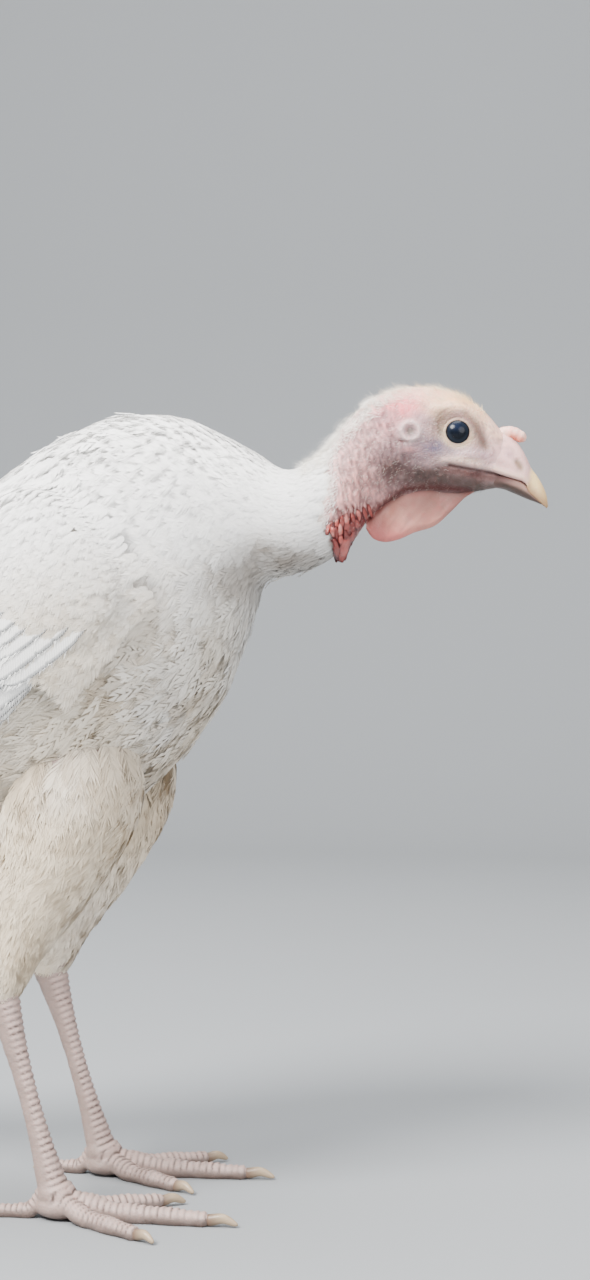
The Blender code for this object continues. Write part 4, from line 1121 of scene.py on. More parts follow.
def wattle():
    """The throat flap: a leaf in the middle plane, thick above, rippled, with a round free edge."""
    table = np.array(WATTLE, float)
    row = curve(table, *lengths_along(table[:, 2:4], 110))
    down = np.linspace(0, 1, 50)[None, :, None]
    sheet = row[:, None, 0:2] * (1 - down) + row[:, None, 2:4] * down
    share = down[..., 0]
    full = row[:, 4:5] * (1 - 0.35 * share) * np.sqrt(np.clip(1 - smooth(0.86, 1.0, share) ** 2, 0.003, 1))
    place = np.stack([sheet[..., 0], np.zeros(sheet.shape[:2]), sheet[..., 1]], axis=-1)
    sway = 3.4 * (noise(place, 13.0) - 0.5) * share + 0.5 * np.sin(place[..., 0] / 3.1) * share**2
    slanted = np.array(((0.8, 0, 0.6), (0, 1, 0), (-0.6, 0, 0.8)))
    creases = noise(place @ slanted, (1.3, 3.0, 5.0))
    grain = (0.5 * (noise(place, 3.2) - 0.5) + 0.26 * (creases - 0.5)) * smooth(0, 0.15, 1 - share)
    left, right = place.copy(), place.copy()
    left[..., 1] += sway + full + grain
    right[..., 1] += sway - full - grain
    rings = np.concatenate([left, right[:, ::-1]], axis=1)
    raw = rings.reshape(-1, 3)
    crest = np.concatenate([creases, creases[:, ::-1]], axis=1).ravel()
    colour = tint(
        spots_over(plain((230, 172, 156), raw), raw, WATTLE_SPOTS),
        # Painted shadow: dark red along the root under the jaw.
        ((126, 50, 46), 0.9 * bell(line_offset(raw, HEAD_LINES["root"])[0], 1.9)),
        ((212, 128, 124), 0.24 * smooth(0.52, 0.78, noise(raw * (1, 0, 1), 2.2))),
        # Painted shade in the troughs of the creases.
        ((184, 112, 106), 0.20 * smooth(0.5, 0.2, crest)),
    )
    closed_piece("wattle_leaf", turned(rings), SOFT_WATTLE, "wattle", paint=colour, replaces=("wattle",))


def caruncles():
    """Red folds round the front foot of the bare neck: long lobes pressed together.

    Each is an egg that leans in the side view, made uneven by noise and draped over the neck's
    flank; the far side has the same ones, moved a little.
    """
    rng = np.random.default_rng(17)
    blocks, all_faces, tones, crests, start = [], [], [], [], 0
    for sign in (-1.0, 1.0):
        for x, z, wide, long, lean, pale in FOLDS:
            x, z = x + rng.uniform(-0.4, 0.4) * (sign > 0), z + rng.uniform(-0.8, 0.8) * (sign > 0)
            thick = 1.3 + 0.40 * wide
            points, faces = sphere((0.0, 0.0, 0.0), (0.9 * wide, thick, long), 18, 24)
            crests.append(smooth(0.35, 0.95, np.abs(points[:, 1]) / thick))
            cos, sin = math.cos(math.radians(lean)), math.sin(math.radians(lean))
            points = points @ np.array(((cos, 0, -sin), (0, 1, 0), (sin, 0, cos)))
            centre = np.array((x, 0.0, z))
            lumps = noise(points + centre + sign, 1.7) + 0.35 * noise(points + centre, 0.7) - 0.65
            points = centre + points * (1 + 0.7 * lumps)[:, None]
            ahead, up = points[:, 0], points[:, 2]
            flank = 0.5 * flank_level(ahead, up) + 0.5 * flank_level(ahead, up + 2.0)
            points[:, 1] += sign * (flank - 0.2 - 0.75 * smooth(294.0, 299.0, z))
            blocks.append(points)
            all_faces += [face + start for face in faces]
            tones.append(np.full(len(points), pale))
            start += len(points)
    raw, pale, crest = np.concatenate(blocks), np.concatenate(tones), np.concatenate(crests)
    uneven = 0.6 + 0.8 * noise(raw + 70, 1.6)
    palest = smooth(0.55, 1.0, pale) * smooth(0.25, 0.6, noise(raw + 40, 2.4))
    # Painted light and shade: each fold paler on its faces and dark red round its rims, so the gaps between
    # them read as shade; the palest folds are their own colour.
    colour = tint(
        plain((106, 24, 28), raw),
        ((218, 116, 106), np.clip(crest * (0.32 + 1.05 * pale) * uneven, 0, 1)),
        ((238, 190, 178), 0.9 * crest * palest),
    )
    piece("red_bulbs", turned(raw), all_faces, SOFT_WATTLE, "wattle", paint=colour, replaces=("caruncles",))


# Legs.
def toe_path(name, share):
    """A toe's middle line and its thickness: down from the joint, then along the floor."""
    heading, length, root, tip, _ = TOES[name]
    turn = math.radians(heading)
    start = TOE_JOINT[2] - 3.5 if name != "hind" else TOE_JOINT[2] + 3.0
    size = root + (tip - root) * share
    fall = np.clip(share / 0.45, 0, 1)
    z = start + (size * 0.86 - start) * fall * fall * (3 - 2 * fall)
    x = TOE_JOINT[0] + length * share * math.cos(turn)
    y = TOE_JOINT[1] + length * share * math.sin(turn)
    return joined(x, y, z), size


def leg_forms():
    """The closed forms that a left leg is fused from: thigh, hock, shank, ball and toes."""
    angle = np.arange(40) * TAU / 40
    share = np.linspace(0.0, 0.99, 40)[:, None]
    yield limb(THIGH_TOP, HOCK, THIGH_SIZES, share, angle, -3.0 * smooth(0.98, 0.80, share))
    yield limb(HOCK, TOE_JOINT, SHANK_SIZES, np.linspace(0.0, 1.03, 60)[:, None], angle, -0.2)
    tilt = np.linspace(0.03, math.pi - 0.03, 24)[:, None]
    unit = joined(np.sin(tilt) * np.cos(angle), np.sin(tilt) * np.sin(angle), np.cos(tilt))
    for centre, radii in (
        (HOCK, (8.6, 7.4, 7.4)),
        ((TOE_JOINT[0] + 3.0, TOE_JOINT[1], 5.6), (11.6, 9.6, 5.7)),
        ((TOE_JOINT[0] + 1.0, TOE_JOINT[1], 11.0), (8.4, 8.6, 6.5)),
    ):
        yield np.array(centre) + unit * np.array(radii)
    for name, (_, length, *_) in TOES.items():
        share = np.linspace(0.0, 1.0, 60)
        path, size = toe_path(name, share)
        pads = 1 + 0.07 * np.cos(share * TAU * max(2, round(length / 19)))
        end = np.sqrt(np.clip(1 - smooth(0.93, 1.0, share) ** 2 * 0.75, 0.05, 1))
        yield tube_rings(path, np.stack([size * pads * end, size * 1.03 * pads * end], 1), 32)


def scutes(points):
    """Raised plates over the front of the shank and the tops of the toes.

    Each plate rises towards its far edge and drops to the next; returns height and gap mask.
    """
    best = np.full(len(points), 1e9)
    plates, gaps, front = (np.zeros(len(points)) for _ in range(3))
    lines = [(np.array([HOCK, TOE_JOINT], float), 2.9, np.array((1.0, 0, 0.25)), 5.6)]
    for name, (_, _, root, _, _) in TOES.items():
        path = toe_path(name, np.linspace(0, 1, 12))[0]
        lines.append((path, 3.0 if name != "hind" else 2.7, np.array((0.0, 0, 1.0)), root))
    for path, pitch, up, size in lines:
        run = np.diff(path, axis=0)
        long = np.linalg.norm(run, axis=1)
        offset = points[:, None, :] - path[None, :-1, :]
        share = np.clip(np.einsum("nsk,sk->ns", offset, run) / long**2, 0, 1)
        away = offset - share[..., None] * run
        far = np.linalg.norm(away, axis=2)
        pick = far.argmin(axis=1)
        rows = np.arange(len(points))
        along = np.concatenate([[0], np.cumsum(long)])[pick] + share[rows, pick] * long[pick]
        facing = away[rows, pick] @ up / np.maximum(far[rows, pick], 1e-6)
        closer = far[rows, pick] / size < best
        best = np.where(closer, far[rows, pick] / size, best)
        part = ((along + 0.5 * np.abs(facing)) / pitch) % 1.0
        plate = smooth(0.0, 0.75, part) * smooth(1.0, 0.9, part)
        plates = np.where(closer, plate, plates)
        gaps = np.where(closer, 1 - smooth(0.0, 0.22, np.minimum(part, 1 - part)), gaps)
        front = np.where(closer, smooth(-0.15, 0.35, facing), front)
    return plates, gaps, front


# The size of the voxels that fuse a leg's forms, in metres.
LEG_VOXEL = 0.00085


def leg(name, sign):
    """One leg's skin from the thigh to the toes: forms fused by voxels, smoothed, then scaled."""
    blocks, faces, start = [], [], 0
    for rings in leg_forms():
        points, parts = shell(rings)
        blocks.append(points)
        faces += [part + start for part in outward(points - points.mean(0), parts)]
        start += len(points)
    made = piece("skin_leg_" + name, np.concatenate(blocks), faces, LEG_SKIN, "leg")
    fuse = made.modifiers.new("fuse", "REMESH")
    fuse.mode, fuse.voxel_size = "VOXEL", LEG_VOXEL
    ease = made.modifiers.new("ease", "SMOOTH")
    ease.factor, ease.iterations = 0.5, 5
    ready = bpy.data.meshes.new_from_object(made.evaluated_get(bpy.context.evaluated_depsgraph_get()))
    made.modifiers.clear()
    made.data = ready
    points, normal = np.empty((2, len(ready.vertices) * 3), np.float32)
    ready.vertices.foreach_get("co", points)
    ready.vertices.foreach_get("normal", normal)
    points, normal = points.reshape(-1, 3).astype(float) / MM - (AHEAD, 0, 0), normal.reshape(-1, 3)
    plates, gaps, front = scutes(points)
    scaly = smooth(112.0, 96.0, points[:, 2])
    grain = noise(points, 1.4) - 0.5
    points += normal * (scaly * (front * (0.62 * plates - 0.2) + (1 - front) * 0.35 * grain))[:, None]
    points[:, 2] = np.maximum(points[:, 2], 0.0)
    grime = smooth(0.42, 0.75, noise(points + 9, (7.0, 7.0, 5.0)) + 0.25 * smooth(16.0, 4.0, points[:, 2]))
    colour = tint(
        plain((208, 186, 178), points),
        # Painted shade: greyer on the back of the shank and the undersides of the toes, with random patches
        # as well.
        ((168, 146, 136), ((1 - front) * 0.55 + 0.25 * noise(points, 6.0)) * scaly),
        ((92, 68, 56), gaps * front * (0.30 + 0.60 * grime) * scaly),
        ((92, 68, 56), smooth(5.0, 1.2, points[:, 2]) * 0.6 * (0.5 + 0.5 * grime)),
    )
    points[:, 1] *= sign
    ready.vertices.foreach_set("co", metres(points))
    if sign < 0:
        ready.flip_normals()
    lay_paint(ready, fleshy(colour))
    ready.polygons.foreach_set("use_smooth", np.ones(len(ready.polygons), bool))
    ready.update()
    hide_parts("thigh_" + name, "shank_" + name, "foot_" + name)


def claws():
    """Short curved claws: a tapering tube that bends to the floor, darker at its root."""
    share, around = np.linspace(0.0, 1.0, 26), 24
    colour = tint(plain((140, 112, 92), share), ((196, 176, 148), smooth(0.0, 0.55, share)))
    colour = np.repeat(colour, around, axis=0)
    for side, sign in SIDES.items():
        for name, (heading, _, _, _, length) in TOES.items():
            path, size = toe_path(name, np.array([0.9, 1.0]))
            turn = math.radians(heading)
            forward = np.array((math.cos(turn), math.sin(turn), 0.0))
            points = path[1] + forward * (-1.0 + (length + 0.6) * share)[:, None]
            rise = path[1][2]
            points[:, 2] = rise + 1.2 * np.sin(share * math.pi) ** 2 - (rise - 1.3) * share**2
            radius = size[1] * 0.72 * np.sqrt(np.clip(1 - share**1.6, 0, 1)) + 0.16
            rings = tube_rings(points, np.stack([radius, radius * 0.86], 1), around)
            rings[..., 2] = np.maximum(rings[..., 2], 0.05)
            rings[..., 1] *= sign
            node = f"claw_{side}_{name}"
            closed_piece(node + "_horn", rings, CLAW_HORN, "horn", paint=colour, replaces=(node,))


# Feathers.
# Triangles over the four points of a barb, and over the five of a blade.
BARB = np.array([[0, 1, 2], [1, 3, 2]])
BLADE = np.array([[0, 1, 3], [0, 3, 2], [2, 3, 4]])
WHITE = (250, 249, 247)
# How long the small feathers are along the trunk.
COAT_LENGTHS = {
    "tail_root": 17,
    "rump": 19,
    "keel": 21,
    "breast": 19,
    "crop": 15,
    "neck_root": 10.5,
    "neck_low": 7.8,
    "neck_mid": 6.0,
}


def inset(u, v):
    """Places on a map for baking, from two shares, kept in from its edges."""
    return 0.05 + 0.9 * np.stack([u, v], -1)


def map_round(length, before=0.0):
    """A map for baking of places along a surface and round it."""

    def unwrap(along, angle):
        return inset((along + before) / length, (angle / TAU) % 1.0)

    return unwrap


def plume(name, surface, root, heading, size, turn, lift, soft, barbs, paint, seed, unwrap, mirror=1.0):
    """Small feathers laid on a surface of two parameters, all of them as one mesh.

    Each is a fan of barbs off a quill that isn't drawn: a barb is a thin curved kite that
    leaves the quill at a slant and thins to a point, and the slant closes towards the
    feather's tip. root gives the surface parameters of each quill's start, size its length
    and width, turn its heading on the surface, lift its height at root and tip, and soft how
    loose its barbs are, from 0 to 1. Normals lean towards the surface's own.
    """
    rng = np.random.default_rng(seed)
    u, v = root
    count = len(u)
    many = (count, 2 * barbs)
    span = 0.02
    du = surface(u + 0.5, v) - surface(u - 0.5, v)
    dv = (surface(u, v + span) - surface(u, v - span)) / (2 * span)
    per_u, per_v = np.linalg.norm(du, axis=-1), np.maximum(np.linalg.norm(dv, axis=-1), 1e-3)
    long, wide = size[0][:, None], size[1][:, None]
    soft = np.broadcast_to(soft, count)[:, None]
    share = np.tile(np.linspace(0.03, 0.80, barbs), 2)[None, :]
    hand = np.repeat([-1.0, 1.0], barbs)[None, :]
    slant = 60 - 32 * soft - (50 - 27 * soft) * (share / 0.80) ** 1.2
    slant = np.radians(slant + (1 + 5 * soft) * rng.normal(0, 1, many))
    reach = wide / 2 * np.interp(share[0], (0, 0.12, 0.35, 0.6, 0.80), (0.55, 0.85, 1.0, 0.78, 0.26))
    reach = reach * (1 + (0.05 + 0.20 * soft) * rng.normal(0, 1.0, many))
    start = share * long
    end_s = start + np.abs(reach) / np.tan(np.maximum(slant, 0.14))
    end_s = np.minimum(end_s, long * (0.98 + (0.03 + 0.16 * soft) * rng.random(many)))
    step = 0.66 * long * 0.77 / barbs * np.sin(np.maximum(slant, 0.45))
    run_s, run_t = end_s - start, hand * reach
    norm = np.maximum(np.hypot(run_s, run_t), 1e-6)
    back_s, back_t = -np.abs(run_t) / norm * step * 1.5, hand * run_s / norm * step * 1.5
    s = np.stack([start - step, start + step, start + 0.50 * run_s + back_s, end_s], -1)
    t = np.stack([0 * start, 0 * start, 0.60 * run_t + back_t, run_t], -1)
    along = s / long[..., None]
    low, high = (np.broadcast_to(value, count)[:, None, None] for value in lift)
    rise = low + (high - low) * smooth(-0.05, 0.80, along)
    rise = rise - 0.6 * (t / wide[..., None] * 2) ** 2 * smooth(0.0, 0.6, along)
    loose = rng.normal(0, 1.0, many)[..., None] * np.array([0, 0, 0.35, 1.0])
    rise = rise + 0.05 * hand[..., None] + loose * (0.07 + 0.40 * soft[..., None])
    rise = rise + rng.normal(0, 0.045, count)[:, None, None] * t
    cos, sin = np.cos(turn)[:, None, None], np.sin(turn)[:, None, None]
    there_u = u[:, None, None] + (s * cos - t * sin) * heading / per_u[:, None, None]
    there_v = v[:, None, None] + (s * sin + t * cos) / per_v[:, None, None]
    points = turned(surface(there_u, there_v, rise)) * (1, mirror, 1)
    over = turned(surface(there_u, there_v, rise + 1.0)) * (1, mirror, 1) - points
    over /= np.maximum(np.linalg.norm(over, axis=-1, keepdims=True), 1e-6)
    a, b, c, d = np.moveaxis(points, -2, 0)
    own = np.cross(b - a, c - a) + np.cross(d - b, c - b)
    side = np.where((own * over[..., 2, :]).sum(-1) < 0, -1.0, 1.0)
    own *= (side / np.maximum(np.linalg.norm(own, axis=-1), 1e-9))[..., None]
    sharp = (0.46 - 0.24 * soft)[..., None, None]
    normals = sharp * own[..., None, :] + (1 - sharp) * over
    normals /= np.linalg.norm(normals, axis=-1, keepdims=True)
    order = np.where(side.ravel()[:, None, None] > 0, BARB, BARB[:, ::-1])
    faces = (np.arange(count * 2 * barbs)[:, None, None] * 4 + order).reshape(-1, 3)
    uv = unwrap(u, v)[:, None, None, :] + PATCH * np.stack([along - 0.5, t / wide[..., None]], -1)
    # Painted shade: each barb darker towards the feather's root, where it lies under the next one; then a
    # little random tone each.
    tone = paint[:, None, None, :] * (0.84 + 0.16 * smooth(0.0, 0.5, along)[..., None])
    tone = tone * (1 + 0.035 * rng.normal(0, 1, many)[..., None, None])
    piece(
        name,
        points.reshape(-1, 3),
        faces,
        PLUMAGE,
        "feathers",
        paint=np.clip(tone, 0, 1).reshape(-1, 3),
        maps={"OFBake": uv.reshape(-1, 2)},
        normals=normals.reshape(-1, 3),
    )


def coat_length(at):
    """The length of the small feathers at a place along the trunk."""
    return np.interp(at, [AT[name] for name in COAT_LENGTHS], list(COAT_LENGTHS.values()))


def plume_colour(points, rng):
    """White above, cream on breast and belly with a faint stain, a little different each, and painted shade
    in streaks along the neck's underside and where it meets the breast.
    """
    low = smooth(306.0, 235.0, points[:, 2]) * smooth(-130.0, -30.0, points[:, 0])
    streaks = 0.45 + 0.95 * noise(points + 20, (6.0, 6.0, 3.0))
    # Painted shade along the underside of the neck and where it meets the breast, in streaks.
    hollow = 0.75 * blob(points, (70, 280), (11, 7)) + streaks * blob(points, (90, 287), (17, 6.5))
    patch = noise(points * (1, 1, 0.55), 24.0)
    stain = smooth(0.50, 0.85, noise(points * (1, 1, 0.5) + 50, 15.0))
    colour = tint(
        plain(WHITE, points),
        ((236, 223, 202), np.clip(low * (0.35 + 0.95 * patch), 0, 1)),
        ((204, 186, 160), 0.65 * stain * low),
        ((136, 122, 108), 0.85 * np.clip(hollow, 0, 1)),
        ((186, 166, 138), 0.40 * smooth(0.70, 0.95, rng.random(len(points))) * low),
    )
    return colour * (1 - (0.04 + 0.10 * low[:, None]) * rng.random((len(points), 1)))


def clumps(points):
    """Soft swells and hollows of the plumage, about -1 to 1."""
    large, small = noise(points * (1, 1, 0.7), 24.0), noise(points * (1, 1, 0.6) + 80, 11.0)
    return 1.6 * (large - 0.5) + 0.8 * (small - 0.5)


def staggered(surface, rows, pitch, rng, ring=72):
    """Places in staggered rows round a surface: even in arc length, each moved a little."""
    u, v = [], []
    turn = np.arange(ring + 1) * TAU / ring
    for i, (at, gap) in enumerate(zip(rows, pitch)):
        girth = np.linalg.norm(np.diff(surface(at, turn), axis=0), axis=1)
        count = max(3, int(girth.sum() / gap))
        spots = (np.arange(count) + 0.5 * (i % 2) + rng.uniform(-0.35, 0.35, count)) / count
        v.append(np.interp(spots % 1.0, np.concatenate([[0], np.cumsum(girth)]) / girth.sum(), turn))
        u.append(at + rng.uniform(-0.28, 0.28, count) * gap)
    return np.concatenate(u), np.concatenate(v)


def jittered(rng, along, across, most):
    """Places on a grid, each moved a little: start, end and step both ways, and the most moved."""
    a, c = (grid.ravel() for grid in np.meshgrid(np.arange(*along), np.arange(*across)))
    return a + rng.uniform(-most[0], most[0], a.size), c + rng.uniform(-most[1], most[1], c.size)


def trunk_coat():
    """Rows of small feathers round the trunk, from the bare neck back to the tail's root."""
    rng = np.random.default_rng(3)
    rows = [AT["neck_mid"] + 12.0]
    while rows[-1] > -9.0:
        rows.append(rows[-1] - 0.21 * coat_length(rows[-1]))
    rows = np.array(rows)
    u, v = staggered(trunk, rows, 0.26 * coat_length(rows), rng)
    keep = bare(u + 1.0, v) < rng.uniform(0.15, 0.95, len(u))
    u, v = u[keep], v[keep]
    spot = trunk(u, v)
    long = coat_length(u) * rng.uniform(0.88, 1.16, len(u))
    belly = smooth(300.0, 225.0, spot[:, 2]) * smooth(-150, -40, spot[:, 0])
    body = smooth(AT["neck_low"], AT["crop"], u)
    soft = np.clip(0.10 + 0.70 * belly + 0.10 * body, 0, 1)
    turn = np.cos(v) * (0.16 + 0.10 * belly) + (0.10 + 0.45 * soft) * (noise(spot, 34.0) - 0.5) * 2
    turn = turn + rng.normal(0, 0.07, len(u)) * (0.4 + soft)
    depth = 1.0 + 3.4 * smooth(AT["neck_mid"], AT["breast"], u)
    puff = clumps(spot) * body * (0.5 + 1.1 * belly)
    high = np.minimum(0.5 + puff + 0.20 * rng.normal(0, 1, len(u)) * (0.4 + soft), 2.8) - 0.4 * (1 - body)
    paint = plume_colour(spot, rng)
    unwrap = map_round(ALONG[-1])
    regions = {
        "coat_neck": u > AT["crop"] - 4.0,
        "coat_breast": (u <= AT["crop"] - 4.0) & (u > AT["keel"]),
        "coat_flank": (u <= AT["keel"]) & (u > AT["loin"]),
        "coat_back": (u <= AT["loin"]) & (u > AT["back"]),
        "coat_rump": u <= AT["back"],
    }
    for i, (name, part) in enumerate(regions.items()):
        size = long[part], long[part] * (0.62 - 0.06 * soft[part])
        lift = puff[part] * 0.6 - depth[part] + 0.3, high[part]
        place = u[part], v[part]
        plume(name, trunk, place, -1.0, size, turn[part], lift, soft[part], 22, paint[part], 20 + i, unwrap)
    wisp = rng.random(len(u)) < 0.22 * belly + 0.05 * body
    u, v, high, paint = u[wisp], v[wisp], high[wisp], paint[wisp]
    long = long[wisp] * rng.uniform(1.0, 1.5, len(u))
    turn = turn[wisp] + rng.normal(0, 0.22, len(u))
    lift = -1.0, np.minimum(high + rng.uniform(0.3, 1.8, len(u)), 3.6)
    plume("coat_wisps", trunk, (u, v), -1.0, (long, long * 0.20), turn, lift, 0.9, 7, paint, 29, unwrap)


# How much of each colour the thigh feathers keep: a darker cream tone, partly painted shade from the body
# above them.
THIGH_TONE = (0.89, 0.85, 0.79)


def thigh_coat():
    """Soft feathers down each thigh, ragged where they end over the hock."""
    rows = [12.0]
    while rows[-1] < THIGH_LENGTH * 0.955:
        rows.append(rows[-1] + float(np.interp(rows[-1], (0, 100, 130), (4.0, 3.4, 2.3))))
    pitch = np.interp(rows, (0, 110, 135), (4.6, 3.8, 3.0))
    for name, sign in SIDES.items():
        rng = np.random.default_rng(7 if sign > 0 else 8)
        along, angle = staggered(thigh, rows, pitch, rng, ring=36)
        spot = thigh(along, angle)
        keep = outside_trunk(spot) > -2.5
        along, angle, spot = along[keep], angle[keep], spot[keep]
        long = np.interp(along, (0, 90, 132), (21, 18, 9)) * rng.uniform(0.85, 1.2, len(along))
        turn = 0.9 * (noise(spot, 26.0) - 0.5) + rng.normal(0, 0.09, len(along))
        puff = clumps(spot) * smooth(132, 90, along)
        deep = 3.0 * smooth(1.0, 0.8, along / THIGH_LENGTH)
        plume(
            "coat_thigh_" + name,
            thigh,
            (along, angle),
            1.0,
            (long, long * 0.52),
            turn,
            (puff * 0.6 - deep + 0.2, 0.7 + puff),
            0.75,
            20,
            plume_colour(spot, rng) * THIGH_TONE,
            30 + int(sign),
            map_round(140.0),
            mirror=sign,
        )


TRUNK_GRID = trunk(np.linspace(0, ALONG[-1], 70)[:, None], np.arange(64) * TAU / 64)


def outside_trunk(points):
    """How far points lie outside the trunk, by the nearest point of a grid on it."""
    grid = TRUNK_GRID.reshape(-1, 3)
    across = np.roll(TRUNK_GRID, -1, axis=1) - np.roll(TRUNK_GRID, 1, axis=1)
    down = np.gradient(TRUNK_GRID, axis=0)
    normal = np.cross(across, down).reshape(-1, 3)
    normal /= np.maximum(np.linalg.norm(normal, axis=1, keepdims=True), 1e-9)
    if (normal * (grid - grid.mean(0))).sum() < 0:
        normal = -normal
    found = np.empty(len(points))
    for part in np.array_split(np.arange(len(points)), max(1, len(points) // 400)):
        near = ((points[part, None, :] - grid[None]) ** 2).sum(-1).argmin(1)
        found[part] = ((points[part] - grid[near]) * normal[near]).sum(-1)
    return found


# Places across a vane, and how much of the quill's height each one has.
ACROSS = np.array([-1.0, -0.72, -0.4, -0.075, 0.0, 0.075, 0.4, 0.72, 1.0])
QUILL = np.array([0.0, 0.0, 0.0, 0.15, 1.0, 0.15, 0.0, 0.0, 0.0])


def vanes(surface, root, tip, half, out, steep, seed, square=0.0, fray=0.5, bow=None):
    """Long feathers, all of them as one block of points: closed leaves with a raised quill.

    Across a vane its two faces meet at frayed edges; along it the half width swells from the
    quill, then closes as a quarter ellipse at the tip. Blades of loose barbs stand past the
    edges. Returns points, faces, a map along and across, and which feather each point is of.
    """
    rng = np.random.default_rng(seed)
    count, rows = len(root), VANE_ROWS
    s = np.linspace(0, 1, rows)[None, :]
    length = np.abs(tip[:, :1] - root[:, :1])
    close = half[:, None] * (1.7 - 1.1 * square) / length
    round_tip = np.sqrt(np.clip(1 - np.clip((s - (1 - close)) / close, 0, 1) ** 2, 0.0, 1))
    round_tip = np.maximum(round_tip, 0.30 * square)
    wide = half[:, None] * np.interp(s[0], (0, 0.1, 0.35, 1), (0.35, 0.62, 0.95, 1.0))[None] * round_tip
    notch = smooth(0.90, 0.99, rng.random((count, 2, rows))) * fray
    ragged = 1 - 0.22 * notch - 0.02 * rng.random((count, 2, rows))
    uneven = np.array([1.08, 0.92])[None, :, None]
    edge = wide[:, None, :] * ragged * uneven
    reach = np.where(ACROSS < 0, edge[:, 0, :, None], edge[:, 1, :, None]) * ACROSS

    def middle_at(share):
        """Along and across of a feather's quill at shares of its length; extra axes pass through."""
        more = (slice(None),) + (None,) * (share.ndim - 1)
        across = root[:, 1][more] + (tip[:, 1] - root[:, 1])[more] * share
        if bow is not None:
            across = across + bow[more] * share * (1 - share) * 4
        return root[:, 0][more] + (tip[:, 0] - root[:, 0])[more] * share, across

    along, middle = middle_at(np.broadcast_to(s, (count, rows)))
    lean = steep[0][:, :, None] * np.abs(np.minimum(reach, 0)) + steep[1][:, :, None] * np.maximum(reach, 0)
    droop = 0.30 * np.abs(ACROSS) ** 2 * smooth(0.3, 1, s)[..., None]
    ripples = 0.30 * (rng.random((count, rows, 1)) - 0.5) * np.abs(ACROSS) * fray
    level = out[:, :, None] + lean - droop + ripples
    body = 0.22 * (1 - 0.7 * np.abs(ACROSS))
    quill = QUILL * np.interp(s[0], (0, 1), (1.0, 0.12))[None, :, None]
    over = surface(along[..., None], middle[..., None] + reach, level + body + 0.7 * quill)
    under = surface(along[..., None], middle[..., None] + reach, level - body - 0.5 * quill)
    rings = np.concatenate([over, under[:, :, ::-1][:, :, 1:-1]], axis=2)
    around = rings.shape[2]
    faces = (np.arange(count)[:, None, None] * rows * around + grid_faces(rows, around)).reshape(-1, 4)
    ring_t = np.concatenate([ACROSS, ACROSS[::-1][1:-1]])
    uv = joined((s * length)[..., None], np.abs(ring_t) * half[:, None, None])
    owner = np.repeat(np.arange(count), rows * around)
    barbs = 64
    shape = (count, 2, barbs)
    place = np.clip(np.linspace(0.10, 0.99, barbs) + rng.normal(0, 0.006, shape), 0, 1)
    pick = np.clip((place * (rows - 1)).astype(int), 0, rows - 1)
    width_at = np.take_along_axis(edge, pick, axis=2)
    wild = smooth(0.80, 1.0, rng.random(shape)) * fray
    near, far = width_at * 0.66, width_at * 0.95
    t = np.stack([near, near, far, far, width_at + 0.35 + 2.4 * wild], -1)
    slip = np.array([-0.5, 0.5, 1.6, 2.6, 4.4]) * (1 + 0.4 * rng.random((count, 2, barbs, 1)))
    run = place[..., None] * length[:, :, None, None] + slip
    barb_along, barb_middle = middle_at(np.clip(run / length[:, :, None, None], 0, 1.012))
    slope = np.take_along_axis(np.stack(np.broadcast_arrays(*steep), 1), pick, axis=2)
    high = np.take_along_axis(np.repeat(out[:, None, :], 2, 1), pick, axis=2)
    hand = np.array([-1.0, 1.0])[None, :, None, None]
    flutter = rng.normal(0, 0.18, (count, 2, barbs, 1)) * np.array([0, 0, 0.4, 0.4, 1])
    height = high[..., None] + slope[..., None] * t - 0.22 + flutter
    blades = surface(barb_along, barb_middle + hand * t, height)
    start = rings.size // 3
    blade_faces = (start + np.arange(count * 2 * barbs)[:, None, None] * 5 + BLADE).reshape(-1, 3)
    points = np.concatenate([rings.reshape(-1, 3), blades.reshape(-1, 3)])
    uv = np.concatenate([uv.reshape(-1, 2), np.stack([run, np.abs(t)], -1).reshape(-1, 2)])
    owner = np.concatenate([owner, np.repeat(np.arange(count), 2 * barbs * 5)])
    return points, [faces, blade_faces], uv, owner


def vane_piece(name, blocks, sign, replaces, seed, extent):
    """Joins blocks of long feathers into one piece, with its maps and paint."""
    rng = np.random.default_rng(seed)
    low, high = np.array(extent)
    points, faces, vane_uv, bake, paint, start = [], [], [], [], [], 0
    for (block, parts, uv, owner), roots in blocks:
        points.append(block)
        faces += [part + start for part in parts]
        vane_uv.append(uv)
        spot = (uv - uv.mean(0)) / (np.ptp(uv, axis=0) + 1e-9) * PATCH
        bake.append(inset(*((roots - low) / (high - low)).T)[owner] + spot)
        shade = linear(WHITE) * (1 - 0.04 * rng.random((len(roots), 1))) * (1, 0.997, 0.985)
        quill = 0.30 * smooth(0.8, 0.2, uv[:, 1])
        base = 0.35 * smooth(30.0, 0.0, uv[:, 0])
        paint.append(tint(shade[owner], ((236, 226, 204), quill), ((226, 212, 188), base)))
        start += len(block)
    flat = np.concatenate(points) * (1, sign, 1)
    if sign < 0:
        faces = [part[:, ::-1] for part in faces]
    maps = {"OFBake": np.concatenate(bake), "Vane": np.concatenate(vane_uv)}
    piece(name, flat, faces, VANES, "feathers", paint=np.concatenate(paint), maps=maps, replaces=replaces)


